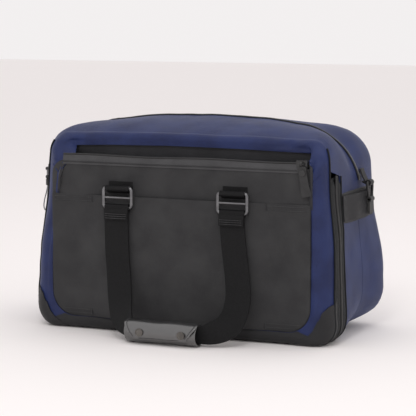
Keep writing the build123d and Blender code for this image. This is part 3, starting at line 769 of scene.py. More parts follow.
strip = grid("front_foot_strip", 60, 12, foot_strip)
face_out(strip, from_core)
dress(strip, "front_section", COATED)
thicken(strip, 1.0)
smooth(strip, 50)
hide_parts("front_base_strip")

# %% [markdown]
# ## Gusset strip, its zip and the bellows
# A black tape runs down both sides and under the front. A coil zip divides it, and a folded cloth band
# behind the zip lets the front swing out when the zip is opened.

# %% Gusset
SIDE_TOP = 42.0              # sample just under the shoulder


def around(u, top=SIDE_TOP):
    """Share of the section from the left side's top, under the foot, to the right side's top."""
    index = lerp(-top, top, u)
    return index_to_share(index) if index >= 0 else 1 + index_to_share(index)


def strip_surface(y0, y1, bulge):
    def place(u, v):
        s = around(u)
        y = lerp(y0, y1, v)
        x, z = section(y, s, -bulge * math.sin(math.pi * v) + 2.4 * ease((section(y, s)[1] - 222) / 12))
        return slump((x, y, z))
    return place


def gusset_piece(name, y0, y1, node):
    piece = grid(name, 2 * RING, 8, strip_surface(y0, y1, 1.2))
    face_out(piece, from_core)
    dress(piece, None, STRIP)
    thicken(piece, 1.6)
    smooth(piece, 50)
    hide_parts(node)
    return piece


gusset_rear = gusset_piece("gusset_tape_rear", GUSSET_ZIP + 1.6, GUSSET_BACK + 0.5, "gusset_rear")
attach(gusset_rear, "shell")
gusset_front = gusset_piece("gusset_tape_front", FOLD_Y - 0.5, GUSSET_ZIP - 1.6, "gusset_front")


def turned_tape(u, v):
    """The tape carries on over the rounded edge to the front, under its piping."""
    s = around(u, 47.0)
    return frame_surface(s, lerp(0.0, tape_turn(s), v), lift=1.2)


def tape_turn(s):
    """The tape turns furthest round the edge at the lower corners, and hardly at all at the top."""
    return 0.03 + 0.05 * ease((220 - section(FOLD_Y, s)[1]) / 160)


tape_edge = grid("gusset_tape_edge", 2 * RING, 6, turned_tape)
face_out(tape_edge, from_core)
dress(tape_edge, None, STRIP)
thicken(tape_edge, 1.4)
smooth(tape_edge, 50)
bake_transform(tape_edge)
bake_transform(gusset_front)


def bellows(u, v):
    s = around(u)
    y = lerp(GUSSET_ZIP - 12, GUSSET_ZIP + 12, v)
    x, z = section(y, s, 4.0 + 2.0 * math.sin(math.pi * v))
    return slump((x, y, z))


band = grid("expansion_band", 2 * RING, 10, bellows)
face_out(band, from_core)
dress(band, None, LINING)
thicken(band, 1.0)
smooth(band, 50)
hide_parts("expansion_bellows")
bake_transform(band)


def tube(name, steps, sides, centre, radius, ripple=0.0, waves=0):
    """Round tube along centre(t), with an optional ripple that reads as coil turns."""
    points = [Vector(centre(k / steps)) for k in range(steps + 1)]

    def place(u, v):
        k = min(steps, max(0, round(v * steps)))
        ahead, behind = points[min(steps, k + 1)], points[max(0, k - 1)]
        along = (ahead - behind).normalized()
        side = along.cross(Vector((0.3, 1.0, 0.2))).normalized()
        up = side.cross(along)
        r = radius * (1 + ripple * math.sin(2 * math.pi * waves * v))
        a = 2 * math.pi * u
        return points[k] + side * (r * math.cos(a)) + up * (r * math.sin(a))
    return closed(grid(name, sides, steps, place), 0.00001)


def edge_path(y, lift, top=SIDE_TOP):
    def centre(t):
        s = around(t, top)
        x, z = section(y, s, -lift)
        return slump((x, y, z))
    return centre


def finish_tube(piece, body, material, slot, *nodes):
    dress(piece, body, material)
    smooth(piece, 60)
    if nodes:
        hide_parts(*nodes)
    return piece


coil_rear = tube("gusset_coil_rear", 900, 8, edge_path(GUSSET_ZIP + 1.1, 0.6), 1.5, 0.25, 450)
finish_tube(coil_rear, "shell", COIL, "zip_coil", "gusset_zip_rear")
coil_front = tube("gusset_coil_front", 900, 8, edge_path(GUSSET_ZIP - 1.1, 0.6), 1.5, 0.25, 450)
finish_tube(coil_front, None, COIL, "zip_coil", "gusset_zip_front")
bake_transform(coil_front)
piping_front = tube(
    "gusset_piping_front", 300, 8,
    lambda t: frame_surface(around(t, 50.0), tape_turn(around(t, 50.0)), lift=0.9), 1.3)
finish_tube(piping_front, None, STRIP, "nylon_black")
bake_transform(piping_front)
piping_rear = tube("gusset_piping_rear", 300, 8, edge_path(GUSSET_BACK, 0.5), 1.4)
finish_tube(piping_rear, "shell", STRIP, "nylon_black")

# %% [markdown]
# ## Main zip
# A black coil zip crosses the crown and runs down both sides. Each half of the coil sits on its own
# side of the opening; the front half is attached to the shell, and the back half to no body.

# %% Main zip
def zip_path(offset, lift=0.7):
    def centre(t):
        s = lerp(index_to_share(34), 1 - index_to_share(34), t)
        height = section(5, s)[1]
        y = zip_line(height) + offset
        x, z = section(y, s, -lift)
        return slump((x, y, z))
    return centre


def low_end(centre, height=222.0):
    """Share along the path where it first stands above a height."""
    for k in range(400):
        if centre(k / 400)[2] > height:
            return k / 400
    return 0.0


def trimmed(centre):
    start = low_end(centre)
    return lambda t: centre(lerp(start, 1 - start, t))


main_front = tube("main_coil_front", 1000, 8, trimmed(zip_path(-1.2)), 1.6, 0.25, 500)
finish_tube(main_front, "shell", COIL, "zip_coil", "main_zip_front")
main_rear = tube("main_coil_rear", 1000, 8, trimmed(zip_path(1.4)), 1.3, 0.25, 500)
finish_tube(main_rear, None, TAPE_GREY, "zip_coil", "main_zip_rear")
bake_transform(main_rear)

# %% [markdown]
# ## Pocket panel and the luggage sleeve over it
# Padded black cloth fills the front. The lower part is a second layer that is sewn down at both sides
# and open above and below in the middle, so a suitcase handle can pass behind it.

# %% Pocket panel
def panel_half(z):
    """Half width of the pocket outline at a height."""
    if z >= PANEL_LOW + PANEL_R:
        return PANEL_HALF
    drop = PANEL_LOW + PANEL_R - z
    return PANEL_HALF - PANEL_R + math.sqrt(max(0.0, PANEL_R ** 2 - drop ** 2))


def edge_distance(x, z, top):
    """About how far a point of the panel is from its sewn outline."""
    low_x, low_z = PANEL_HALF - PANEL_R, PANEL_LOW + PANEL_R
    if abs(x) > low_x and z < low_z:
        return PANEL_R - math.hypot(abs(x) - low_x, z - low_z)
    return min(PANEL_HALF - abs(x), z - PANEL_LOW if z < low_z else PANEL_R, top - z + 6)


def cloth_wave(x, z, seed, size, height):
    return noise.noise(Vector((x / size, seed, z / size))) * height


def spread(t):
    """Rows closer together at both ends."""
    return 0.5 - 0.5 * math.cos(math.pi * t)


def panel_surface(u, v):
    z = lerp(PANEL_LOW, PANEL_TOP + 2, spread(v))
    x = lerp(-panel_half(z) + left_cut(z), panel_half(z), spread(u))
    d = edge_distance(x, z, 400)
    y = FRONT_Y + 1.6 * math.exp(-d / 2.0) - 1.6 * ease(d / 30) + cloth_wave(x, z, 3, 60, 1.2)
    return x, y, z


panel = grid("pocket_panel_skin", 120, 90, panel_surface)
face_out(panel, lambda c: Vector((0, -1, 0)))
dress(panel, "front_section", BLACK, LINING)
thicken(panel, 2.6, inner=1)
smooth(panel, 50)
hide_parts("pocket_panel")

SLEEVE_TOP, SLEEVE_HALF = 200.0, 137.0


def sleeve_surface(u, v):
    z = lerp(PANEL_LOW + 0.5, SLEEVE_TOP, spread(v))
    x = (2 * spread(u) - 1) * (panel_half(z) - 1.0)
    d = max(0.0, edge_distance(x, z, 400))
    stand = lerp(1.8, 6.8, ease((SLEEVE_HALF + 18 - abs(x)) / 60))
    low = ease((z - PANEL_LOW) / 10)
    y = FRONT_Y - stand * lerp(0.85, 1.0, low) + 1.6 * math.exp(-d / 2.0)
    y -= 2.2 * math.sin(math.pi * min(1, max(0, (z - 20) / 180))) * ease((210 - abs(x)) / 120)
    return x, y + cloth_wave(x, z, 9, 55, 1.6), z


sleeve = grid("luggage_sleeve_skin", 120, 80, sleeve_surface)
face_out(sleeve, lambda c: Vector((0, -1, 0)))
dress(sleeve, "front_section", BLACK, LINING)
thicken(sleeve, 2.0, inner=1)
smooth(sleeve, 50)
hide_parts("luggage_sleeve")

# %% [markdown]
# ## Pocket mouth
# A grey facing binds the top of the panel and carries one side of the coil. Behind it stand the padded
# divider and the cloth facing of the bag's own wall, which hangs from the fold.

# %% Pocket mouth
FACING_HALF, MOUTH_HALF, FACING_TOP = 197.0, 199.0, 257.0


def facing_surface(u, v):
    x = lerp(-FACING_HALF + 13, FACING_HALF, u)
    z = lerp(244.0, FACING_TOP, v) + 0.8 * math.sin(x / 31) * v
    y = FRONT_Y - 2.6 + 2.2 * v * v + cloth_wave(x, z, 3, 60, 1.2)
    return x, y, z


facing = grid("pocket_facing_skin", 120, 8, facing_surface)
face_out(facing, lambda c: Vector((0, -1, 0)))
dress(facing, "front_section", FACING)
thicken(facing, 1.8)
smooth(facing, 50)
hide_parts("pocket_facing")

bind = tube("pocket_binding", 200, 8, lambda t: facing_surface(t, 0.28), 1.0)
finish_tube(bind, "front_section", BLACK, "nylon_black")


def coil_centre(t):
    x, y, z = facing_surface(t, 1.0)
    return x, y + 0.9, z + 1.2


coil = tube("pocket_coil", 800, 8, coil_centre, 1.4, 0.25, 400)
finish_tube(coil, "front_section", COIL, "zip_coil", "pocket_zip_coil")


def divider_surface(u, v):
    x = lerp(-196, 196, u)
    z = lerp(8.0, 243.0, v)
    return x, -86.0 + cloth_wave(x, z, 21, 80, 1.5), z


divider = grid("pocket_divider_pad", 60, 30, divider_surface)
face_out(divider, lambda c: Vector((0, -1, 0)))
dress(divider, "front_section", LINING)
thicken(divider, 4.0)
apply_modifier(divider, "BEVEL", width=1.5 * MM, segments=3, limit_method="ANGLE")
smooth(divider, 50)
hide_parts("pocket_divider")


def rear_facing_surface(u, v):
    x = lerp(-196.5, 196.5, u)
    top = section(FOLD_Y, 0.5 + x / 2000)[1] - 8
    low_z = 251.0
    z = lerp(low_z, min(280.0, top), v)
    return x, -86.5 + cloth_wave(x, z, 33, 50, 1.0), z


rear_facing = grid("pocket_rear_facing_skin", 100, 8, rear_facing_surface)
face_out(rear_facing, lambda c: Vector((0, -1, 0)))
dress(rear_facing, "shell", LINING)
thicken(rear_facing, 1.2)
smooth(rear_facing, 50)
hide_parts("pocket_rear_facing")

# %% [markdown]
# ## Ladder buckles and their loops
# A cast ladder buckle hangs from a short loop of webbing sewn to the face. Its two posts and three bars
# are one casting: bars are rods, and the posts are the sides of a round-cornered frame of round bar.

# %% Buckles
HANDLE_X, BUCKLE_OFF, BUCKLE_Z, PITCH, WEB_W, WEB_T = 90.0, 12.0, 199.0, 13.2, 38.0, 2.2
BAR_R, POST_X, POST_H = 1.75, 22.25, 31.0


def polyline(points):
    """Smooth curve through points, by share of its length."""
    points = [Vector(p) for p in points]
    lengths = [0.0]
    for a, b in zip(points, points[1:]):
        lengths.append(lengths[-1] + (b - a).length)

    def at(t):
        want = t * lengths[-1]
        k = 0
        while k < len(points) - 2 and lengths[k + 1] < want:
            k += 1
        span = lengths[k + 1] - lengths[k]
        f = (want - lengths[k]) / span
        before = points[max(0, k - 1)]
        after = points[min(len(points) - 1, k + 2)]
        a, b = points[k], points[k + 1]
        m0, m1 = (b - before) * 0.5, (after - a) * 0.5
        f2, f3 = f * f, f * f * f
        return (a * (2 * f3 - 3 * f2 + 1) + m0 * (f3 - 2 * f2 + f)
                + b * (3 * f2 - 2 * f3) + m1 * (f3 - f2))
    return at


def closed_loop(points):
    points = list(points)
    at = polyline(points + points[:3])
    total = sum((Vector(b) - Vector(a)).length for a, b in zip(points, points[1:] + points[:1]))
    whole = sum((Vector(b) - Vector(a)).length for a, b in zip(points + points[:2], points[1:] + points[:3]))
    start = (Vector(points[1]) - Vector(points[0])).length / whole
    return lambda t: at(start + t * total / whole)


def buckle(name, x, y, body, node):
    """Ladder buckle: a round-cornered frame of cast bar with a middle bar across it."""
    turn, reach = 5.0, PITCH + 1.2
    corners = []
    for across, up, start in ((1, 1, 0), (-1, 1, 90), (-1, -1, 180), (1, -1, 270)):
        for k in range(5):
            a = math.radians(start + k * 22.5)
            corners.append((x + across * (POST_X - turn) + turn * math.cos(a), y,
                            BUCKLE_Z + up * (reach - turn) + turn * math.sin(a)))
    pieces = [tube(name + "_frame", 200, 16, closed_loop(corners), 2.5)]
    for row in (-PITCH, 0, PITCH):
        bar = rod(name + "_bar", (x - POST_X, y, BUCKLE_Z + row), (x + POST_X, y, BUCKLE_Z + row), BAR_R, 20)
        pieces.append(bar)
    whole = joined(name, pieces)
    dress(whole, body, GUNMETAL)
    smooth(whole, 35)
    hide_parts(node)
    return whole


def web_sweep(name, path, widths, steps, thickness=2.0):
    """Webbing along path(t), which gives a centre and the direction across the strap."""
    frames = []
    for k in range(steps + 1):
        centre, across = path(k / steps)
        frames.append((Vector(centre), Vector(across).normalized()))

    def place(u, v):
        k = min(steps, max(0, round(v * steps)))
        centre, across = frames[k]
        width = widths(k / steps) if callable(widths) else widths
        return centre + across * ((u - 0.5) * width)

    piece = grid(name, 12, steps, place)
    apply_modifier(piece, "SOLIDIFY", thickness=thickness * MM, offset=0.0, use_even_offset=False)
    edit(piece, (bpy.ops.mesh.normals_make_consistent, {"inside": False}))
    apply_modifier(piece, "BEVEL", width=0.5 * MM, segments=2, limit_method="ANGLE", angle_limit=0.9)
    return piece


def eye(y_bar, z_bar, radius, turn_from, turn_to, count=10):
    """Points round a bar in the YZ plane, angles in degrees from +Y towards +Z."""
    return [(y_bar + radius * math.cos(math.radians(lerp(turn_from, turn_to, k / count))),
             z_bar + radius * math.sin(math.radians(lerp(turn_from, turn_to, k / count))))
            for k in range(count + 1)]


def flat_web(name, x, profile, steps, width=WEB_W, thickness=2.0):
    """Strap of constant place across, along a profile of (y, z) points."""
    at = polyline([(x, y, z) for y, z in profile])
    return web_sweep(name, lambda t: (at(t), (1, 0, 0)), width, steps, thickness)


def buckle_loops(face, body, node, label):
    """Two webbing loops: tab on the face, round the top bar, back to the face."""
    side = 1 if face > 0 else -1
    y_bar = face + side * BUCKLE_OFF
    z_bar = BUCKLE_Z + PITCH
    turn = eye(0, 0, BAR_R + 1.5, 150, -110)
    profile = [(face + side * 1.2, 221.5), (face + side * 1.2, 214.0), (face + side * 4.0, 209.5)]
    profile += [(y_bar + side * dy * 1.0, z_bar + dz) for dy, dz in eye(0, 0, BAR_R + 1.3, 235, -40, 12)]
    profile += [(y_bar - side * 2.0, z_bar - 3.4), (face + side * 2.0, 205.0)]
    pieces = [flat_web("loop", x, profile, 60) for x in (-HANDLE_X, HANDLE_X)]
    whole = joined(label, pieces)
    dress(whole, body, WEB)
    smooth(whole, 40)
    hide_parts(node)
    return whole


FRONT_BAR_Y, REAR_BAR_Y = FRONT_Y - BUCKLE_OFF, BACK_Y + BUCKLE_OFF
buckle_loops(FRONT_Y, "front_section", "front_buckle_loops", "front_loops")
buckle_loops(BACK_Y, "shell", "rear_buckle_loops", "rear_loops")
buckle("front_ladder_left", -HANDLE_X, FRONT_BAR_Y, "buckle_front_left", "front_buckle_left")
buckle("front_ladder_right", HANDLE_X, FRONT_BAR_Y, "buckle_front_right", "front_buckle_right")
buckle("rear_ladder_left", -HANDLE_X, REAR_BAR_Y, "buckle_rear_left", "rear_buckle_left")
buckle("rear_ladder_right", HANDLE_X, REAR_BAR_Y, "buckle_rear_right", "rear_buckle_right")

# %% [markdown]
# ## Handle straps
# Each strap is folded round the bottom bar and sewn to itself, hangs against the front, leans towards the
# grip and turns on its edge as it lies down on the floor. The two meet inside the grip.

# %% Front straps
GRIP_X, GRIP_Y, GRIP_Z, GRIP_R = 6.0, -175.0, 16.3, 15.0


def strap(name, side, centres, turns, body, node):
    """side -1 is the left. centres are points, turns how far the strap has rolled on its edge."""
    at = polyline(centres)

    def path(t):
        k = min(len(turns) - 2, int(t * (len(turns) - 1)))
        angle = math.radians(lerp(turns[k], turns[k + 1], t * (len(turns) - 1) - k))
        across = Vector((math.cos(angle), 0.25 * math.sin(angle), side * -math.sin(angle)))
        return at(t), across

    def width(t):
        return lerp(WEB_W, 25.0, ease((t - 0.72) / 0.2))
    piece = web_sweep(name, path, width, 90)
    dress(piece, body, WEB)
    smooth(piece, 40)
    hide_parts(node)
    return piece


low_bar = BUCKLE_Z - PITCH
strap("front_strap_web_left", -1,
      ((-90, FRONT_BAR_Y - 3.4, low_bar), (-91, -126.0, 160), (-89.5, -127.0, 122), (-85, -131, 86),
       (-79, -140, 58), (-67, -157, 33), (-46, -172, 19), (-20, -175, 16.5)),
      (0, 0, 0, 2, 8, 38, 70, 80), "front_handle", "front_strap_left")
strap("front_strap_web_right", 1,
      ((90, FRONT_BAR_Y - 3.4, low_bar), (91, -126.0, 160), (95, -127.0, 126), (101, -131, 90),
       (105, -141, 60), (100, -158, 33), (74, -173, 18.5), (34, -175, 16.5)),
      (0, 0, 0, 2, 8, 36, 72, 80), "front_handle", "front_strap_right")


def strap_tab(name, x, y_bar, side, body):
    """Folded end of the strap, sewn over it in front."""
    profile = [(y_bar + side * dy, low_bar + dz) for dy, dz in eye(0, 0, BAR_R + 1.4, 250, -40, 12)]
    front = [(y_bar + side * 4.6, 180.0), (y_bar + side * 5.2, 167.0)]
    back = [(y_bar - side * 2.0, 180.0)]
    piece = flat_web(name, x, back + profile + front, 50, WEB_W, 1.8)
    dress(piece, body, WEB)
    smooth(piece, 40)
    return piece


for side_name, x in (("left", -90.5), ("right", 90.0)):
    strap_tab("front_strap_tab_" + side_name, x, FRONT_BAR_Y, -1, "front_handle")

# %% [markdown]
# ## Leather grip
# A rectangle of leather is rolled round both straps and closed at the front by a flap with two snaps.
# The roll is not quite round: it sits on the floor and sags between the straps.

# %% Grip
GRIP_HALF = 55.0


def grip_surface(u, v, radius=GRIP_R):
    x = GRIP_X + lerp(-GRIP_HALF, GRIP_HALF, v)
    a = 2 * math.pi * u
    waist = 1 - 0.05 * math.sin(math.pi * v) + 0.03 * math.sin(3 * a + 5 * v)
    y = GRIP_Y + 0.95 * radius * waist * math.cos(a)
    z = GRIP_Z + radius * waist * math.sin(a)
    return x, y, max(0.6, z)


grip = grid("leather_grip_roll", 64, 60, grip_surface)
edit(grip, (bpy.ops.mesh.remove_doubles, {"threshold": 0.00002}))
face_out(grip, lambda c: Vector((0, c.y + 0.175, c.z - 0.0163)))
dress(grip, "front_handle", LEATHER)
thicken(grip, 2.0)
apply_modifier(grip, "BEVEL", width=0.7 * MM, segments=3, limit_method="ANGLE")
smooth(grip, 50)
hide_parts("leather_grip", "grip_core")


def flap_surface(u, v):
    """u runs over the top and down the front; the lower edge is shorter than the top one."""
    a = math.radians(lerp(82, 207, u))
    half = lerp(56.0, 44.0, ease((u - 0.3) / 0.7)) - 3.0 * (1 - math.sin(math.pi * min(1, 1.2 * (1 - u)))) * (u > 0.8)
    x = GRIP_X + half * (2 * v - 1)
    radius = GRIP_R + 2.3 + 0.5 * math.sin(4 * math.pi * v)
    return x, GRIP_Y + radius * math.cos(a), max(1.4, GRIP_Z + radius * math.sin(a))


def flap_out(u, x):
    """Point of the flap a distance x from its middle, by its own width."""
    return flap_surface(u, 0.5 + x / 112.0)


flap = grid("grip_flap_leather", 40, 60, flap_surface)
face_out(flap, lambda c: Vector((0, c.y + 0.175, c.z - 0.0163)))
dress(flap, "grip_closure", LEATHER)
thicken(flap, 1.8)
apply_modifier(flap, "BEVEL", width=0.6 * MM, segments=3, limit_method="ANGLE")
smooth(flap, 50)
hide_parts("grip_flap")


def snap(name, x):
    """Ring-snap cap: low dome with a rolled rim."""
    fresh()
    place = Vector((x, GRIP_Y - GRIP_R - 3.2, GRIP_Z + 2.0)) * MM
    bpy.ops.mesh.primitive_cylinder_add(vertices=40, radius=0.0058, depth=0.0026, location=place,
                                        rotation=(math.radians(90), 0, 0))
    cap = place_all(bpy.context.object)
    apply_modifier(cap, "BEVEL", width=0.0009, segments=4, limit_method="ANGLE")
    fresh()
    bpy.ops.mesh.primitive_torus_add(major_radius=0.0052, minor_radius=0.0007, major_segments=40,
                                     minor_segments=10, location=place - Vector((0, 0.0011, 0)),
                                     rotation=(math.radians(90), 0, 0))
    rim = place_all(bpy.context.object)
    return joined(name, [cap, rim])


studs = joined("grip_snaps", [snap("snap", -23.0), snap("snap", 41.0)])
dress(studs, "grip_closure", NICKEL)
smooth(studs, 40)
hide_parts("snap_studs")

# %% [markdown]
# ## Stitches
# A thread shows as dashes because it dives through the cloth between stitches. One thin tube that waves
# in and out of the surface gives the same dashes. The sleeve is sewn down by double rows at its four
# corners, with a bar tack where each row ends.

# %% Stitches
def stitch_line(name, surface, out, length, pitch=3.6, radius=0.45):
    """Thread along surface(t), diving in and out along the direction out."""
    waves = max(3, round(length / pitch))

    def centre(t):
        return Vector(surface(t)) + Vector(out) * (0.15 + 0.75 * math.sin(2 * math.pi * waves * t))
    return tube(name, waves * 8, 6, centre, radius)


def sleeve_front(x, z):
    """Point of the sleeve's outer face at a place on the front."""
    half = panel_half(z) - 1.0
    u = math.acos(1 - 2 * min(1, max(0, (x / half + 1) / 2))) / math.pi
    v = math.acos(1 - 2 * min(1, max(0, (z - PANEL_LOW - 0.5) / (SLEEVE_TOP - PANEL_LOW - 0.5)))) / math.pi
    return sleeve_surface(u, v)


rows = []
for side in (-1, 1):
    for z in (191.0, 196.5, 24.5, 30.0):
        far = panel_half(z) - 5.0
        rows.append(stitch_line("row", lambda t: sleeve_front(side * lerp(SLEEVE_HALF, far, t), z),
                                (0, -1, 0), far - SLEEVE_HALF))
    for low, high in ((190.0, 198.5), (22.5, 31.5)):
        rows.append(stitch_line("tack", lambda t: sleeve_front(side * SLEEVE_HALF, lerp(low, high, t)),
                                (0, -1, 0), 8.0, 1.2, 0.7))
stitches = joined("sleeve_stitches", rows)
dress(stitches, "front_section", THREAD)
smooth(stitches, 60)

rows = []
for x in (-90.5, 90.0):
    for z in (169.5, 172.5, 175.5):
        rows.append(stitch_line(
            "row", lambda t: (x + lerp(-17, 17, t), FRONT_BAR_Y - 6.0 + 0.4 * (z - 168) / 8, z),
            (0, -1, 0), 34.0, 2.4, 0.5))
stitches = joined("strap_stitches", rows)
dress(stitches, "front_handle", THREAD)
smooth(stitches, 60)

rows = []
for edge in (-52.0, 52.0):
    rows.append(stitch_line("row", lambda t: flap_out(lerp(0.08, 0.92, t), edge), (0, -0.6, 0.6), 50.0, 2.6, 0.35))
rows.append(stitch_line("row", lambda t: flap_out(0.955, lerp(-41, 41, t)), (0, -0.9, 0), 82.0, 2.6, 0.35))
stitches = joined("grip_stitches", rows)
dress(stitches, "grip_closure", THREAD)
smooth(stitches, 60)

seams = []
for side in (1, -1):
    share = index_to_share(43.2) if side > 0 else 1 - index_to_share(43.2)
    seams.append(tube("seam", 60, 6, lambda t: frame_surface(share, lerp(0.25, 0.98, t), lift=0.2), 0.8))
seam = joined("border_top_seams", seams)
dress(seam, "shell", BLUE)
smooth(seam, 60)

# %% [markdown]
# ## Rear handle
# The back carries the same pair of straps without a leather grip: the webbing itself is folded into a
# hand loop between them.

# %% Rear handle
for side_name, side in (("left", -1), ("right", 1)):
    strap("rear_strap_web_" + side_name, side,
          tuple((side * x, y, z) for x, y, z in (
              (90, REAR_BAR_Y + 3.4, low_bar), (91, 126.0, 160), (92, 127.0, 122), (90, 131, 80),
              (83, 141, 50), (70, 158, 29), (50, 173, 18), (26, 175, 16.5))),
          (0, 0, 0, -6, -18, -48, -74, -80), "rear_handle", "rear_strap_" + side_name)
    strap_tab("rear_strap_tab_" + side_name, side * HANDLE_X, REAR_BAR_Y, 1, "rear_handle")

hand_loop = web_sweep("rear_hand_band", lambda t: ((lerp(-46, 46, t), 175.0, 16.5), (0, 0.2, 1)), 25.0, 60, 6.0)
dress(hand_loop, "rear_handle", WEB_FLAT)
smooth(hand_loop, 40)
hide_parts("rear_hand_loop")

# %% [markdown]
# ## Side handles, rings and tag
# A flat band of webbing crosses each side over a black backing, bowed out enough for a hand. A moulded
# ring hangs above it from a short loop, and a small blank tag hangs from the right ring.

# %% Side handles
def side_x(y, z):
    """Half width of the body at a height on its side."""
    points = half_section(y)[COUNTS[0]:]
    for (x0, z0), (x1, z1) in zip(points, points[1:]):
        if z0 <= z <= z1 and z1 > z0:
            return lerp(x0, x1, (z - z0) / (z1 - z0))
    return points[-1][0]


OUTWARD = Vector((math.cos(math.atan(LEAN)), 0, math.sin(math.atan(LEAN))))
UPWARD = Vector((-OUTWARD.z, 0, OUTWARD.x))
BAND_Z, BAND_FRONT, BAND_BACK = 190.0, -53.0, 76.0


def on_side(y, z, lift):
    return Vector(slump((side_x(y, z), y, z))) + OUTWARD * lift


def backing(u, v):
    lift = 1.2 - 1.6 * (abs(2 * v - 1) ** 12 + abs(2 * u - 1) ** 16)
    return on_side(lerp(BAND_FRONT - 1, BAND_BACK + 4, u), lerp(BAND_Z - 23, BAND_Z + 23, v), lift)


def band_lift(t):
    """The band is sewn flat at both ends and stands off in the middle."""
    return 2.6 + 6.0 * ease(min(t, 1 - t) / 0.3 - 0.25)


def side_band(name, sign):
    def path(t):
        point = on_side(lerp(BAND_FRONT, BAND_BACK, t), BAND_Z, band_lift(t))
        return (point.x * sign, point.y, point.z), (UPWARD.x * sign, 0, UPWARD.z)
    piece = web_sweep(name, path, 37.0, 70)
    dress(piece, "shell", WEB_FLAT)
    smooth(piece, 40)
    return piece


for side_name, sign, place in (("right", 1, backing), ("left", -1, mirrored(backing))):
    patch_piece = grid("side_backing_" + side_name, 60, 24, place)
    face_out(patch_piece, from_core)
    dress(patch_piece, "shell", BLACK)
    thicken(patch_piece, 1.4)
    smooth(patch_piece, 50)
    if sign > 0:
        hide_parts("side_handle_bases")
    band_piece = side_band("side_band_" + side_name, sign)
    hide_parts("side_handle_" + side_name)

# %% [markdown]
# Each ring is moulded acetal: a straight bar that the loop holds, and two sides that draw in to a toe.

# %% Rings
RING_X, RING_Y, RING_Z = 239.13, 35.0, 219.77


for side_name, sign in (("right", 1), ("left", -1)):
    corners = ((0, 0), (-9, 0.2), (-11.2, -2.5), (-10.8, -8), (-8.2, -16), (-5.5, -22.5), (0, -24),
               (5.5, -22.5), (8.2, -16), (10.8, -8), (11.2, -2.5), (9, 0.2))
    loop_points = [(sign * (RING_X - LEAN * h), RING_Y + y, RING_Z + h) for y, h in corners]
    ring = tube("moulded_ring_" + side_name, 160, 14, closed_loop(loop_points), 2.0)
    dress(ring, "strap_ring_" + side_name, ACETAL)
    smooth(ring, 60)
    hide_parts("ring_" + side_name)
    turn = [(sign * (RING_X + dx), RING_Y, RING_Z + dz) for dx, dz in eye(0, 0, 3.5, -75, 175, 12)]
    turn = [(sign * (RING_X - 9.5), RING_Y, RING_Z + 1.5)] + turn
    turn = turn + [(sign * (RING_X - 8.5), RING_Y, RING_Z + 9.0), (sign * (RING_X - 12.8), RING_Y, RING_Z + 20.0)]
    at = polyline(turn)
    tab = web_sweep("ring_web_" + side_name, lambda t: (at(t), (0, 1, 0)), 15.0, 50, 1.8)
    dress(tab, "shell", WEB_FLAT)
    smooth(tab, 40)
    if sign > 0:
        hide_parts("ring_loops")

TAG_X, TAG_Z = 240.5, 195.8
tag_points = [(TAG_X + dx, RING_Y, TAG_Z + dz) for dx, dz in eye(0, 0, 3.2, -110, 290, 16)]
tag_at = polyline(tag_points[:-1] + [(TAG_X + 0.9, RING_Y, TAG_Z - 6), (TAG_X + 1.0, RING_Y, TAG_Z - 21)])
tag = web_sweep("blank_tag", lambda t: (tag_at(t), (0, 1, 0)), 16.0, 60, 1.8)
dress(tag, "tag", RUBBER)
smooth(tag, 40)
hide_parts("label_tag")

# %% [markdown]
# ## Pullers, sliders and the cord
# The pocket's puller is moulded rubber with a rivet through its head, and it leans as it hangs. The
# sliders are small enamelled castings: the frame's own solids serve, with a better finish.

# %% Pullers
def puller(name, pin, down, across, length, width):
    """Moulded tab that hangs from a pin: wide head, slight waist, square tail."""
    pin, down, across = Vector(pin), Vector(down).normalized(), Vector(across).normalized()

    def place(u, v):
        half = width / 2 * (1 - 0.16 * math.sin(math.pi * min(1, v * 1.15)))
        half *= ease(min(1, 0.45 + v * 6)) * (1 - 0.1 * ease((v - 0.94) / 0.06))
        return pin + down * lerp(3.0, length, v) + across * ((2 * u - 1) * half)
    piece = grid(name, 14, 40, place)
    apply_modifier(piece, "SOLIDIFY", thickness=2.2 * MM, offset=0.0)
    edit(piece, (bpy.ops.mesh.normals_make_consistent, {"inside": False}))
    return apply_modifier(piece, "BEVEL", width=0.6 * MM, segments=3, limit_method="ANGLE", angle_limit=0.9)


PIN = (190.0, -117.85, 257.0)
LEAN_ANGLE = math.radians(11)
tab = puller("pocket_puller_tab", PIN, (math.sin(LEAN_ANGLE), 0, -math.cos(LEAN_ANGLE)),
             (math.cos(LEAN_ANGLE), 0, math.sin(LEAN_ANGLE)), 46.0, 14.5)
collar = rod("collar", (PIN[0] - 2.0, PIN[1], PIN[2]), (PIN[0] + 2.0, PIN[1], PIN[2]), 3.2, 24)
collar = apply_modifier(collar, "BEVEL", width=0.0006, segments=3, limit_method="ANGLE")
tab = joined("pocket_puller_tab", [tab, collar])
dress(tab, "laptop_puller_body", RUBBER)
smooth(tab, 40)
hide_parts("laptop_puller")
head = Vector(PIN) + Vector((math.sin(LEAN_ANGLE), 0, -math.cos(LEAN_ANGLE))) * 12.5
rivet = rod("pocket_puller_rivet", head + Vector((0, -1.0, 0)), head + Vector((0, -2.4, 0)), 4.6, 36)
apply_modifier(rivet, "BEVEL", width=0.0007, segments=4, limit_method="ANGLE")
dress(rivet, "laptop_puller_body", ENAMEL)
smooth(rivet, 40)
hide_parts("laptop_puller_rivet")

nodes = frame["nodes"]
for node, material in (("laptop_slider", ENAMEL), ("main_slider", ENAMEL), ("gusset_slider", ENAMEL),
                       ("main_puller", RUBBER), ("cord_link", GUNMETAL), ("cord_bead", ACETAL),
                       ("cord_toggle", ACETAL), ("base_board", BOARD)):
    for socket in nodes[node].material_slots:
        socket.material = material

# %% [markdown]
# The cord is one limp loop of thin braid. It leaves the toggle, hangs and comes back up into it.

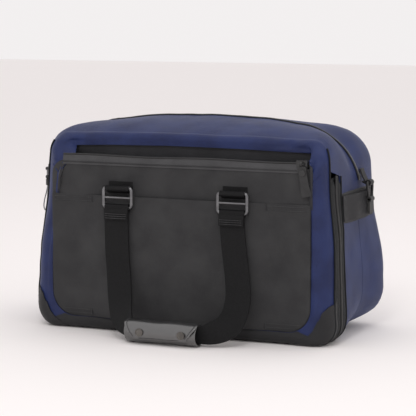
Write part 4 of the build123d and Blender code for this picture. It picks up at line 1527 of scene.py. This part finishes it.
# %% Cord
CORD_ROUTE = ((-231.88, -72.77, 206.04), (-232.05, -73.6, 197.04), (-231.45, -76.4, 185.04),
              (-233.05, -76.8, 173.04), (-238.25, -71.7, 167.04), (-243.25, -67.0, 174.04),
              (-240.25, -68.2, 186.04), (-235.65, -70.3, 197.04), (-233.42, -71.23, 206.04))
line = bpy.data.curves.new("pull_cord", "CURVE")
line.dimensions = "3D"
line.bevel_depth, line.bevel_resolution, line.resolution_u = 0.0009, 4, 24
spline = line.splines.new("NURBS")
spline.points.add(len(CORD_ROUTE) - 1)
for point, place in zip(spline.points, CORD_ROUTE):
    point.co = (*(c * MM for c in place), 1.0)
spline.order_u = 3
spline.use_endpoint_u = True
cord = bpy.data.objects.new("pull_cord", line)
bpy.context.scene.collection.objects.link(cord)
line.materials.append(CORD)
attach(cord, "cord_pull")
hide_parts("cord_loop")

# %% [markdown]
# ## Floor, backdrop and light
# A pale sweep and large soft lights from both sides, so that satin cloth shows broad sheen.

# %% Studio
def studio():
    fresh()
    bpy.ops.mesh.primitive_plane_add(size=14.0, location=(0, 3.0, 0))
    floor = bpy.context.object
    floor.name = "studio_floor"
    material, tree, shader, _ = start_material("studio_paper", 0.9)
    shader.inputs["Base Color"].default_value = tone("F7F3F2")
    floor.data.materials.append(material)
    world = bpy.data.worlds.new("studio_world")
    world.use_nodes = True
    bpy.context.scene.world = world
    back = world.node_tree.nodes["Background"]
    back.inputs["Color"].default_value = tone("F8F5F5")
    back.inputs["Strength"].default_value = 0.95
    lamps = (
        ("key", (0.45, -1.4, 1.45), 0.36, 5.5),
        ("side", (2.3, 0.9, 1.3), 1.0, 1.5),
        ("top", (0.2, 0.5, 2.2), 1.2, 5.0),
    )
    for name, place, size, power in lamps:
        light = bpy.data.lights.new("studio_" + name, "AREA")
        light.size, light.energy = size, power
        lamp = bpy.data.objects.new("studio_" + name, light)
        lamp.location = place
        aim = Vector((0, 0, 0.15)) - Vector(place)
        lamp.rotation_euler = aim.to_track_quat("-Z", "Y").to_euler()
        bpy.context.scene.collection.objects.link(lamp)


studio()
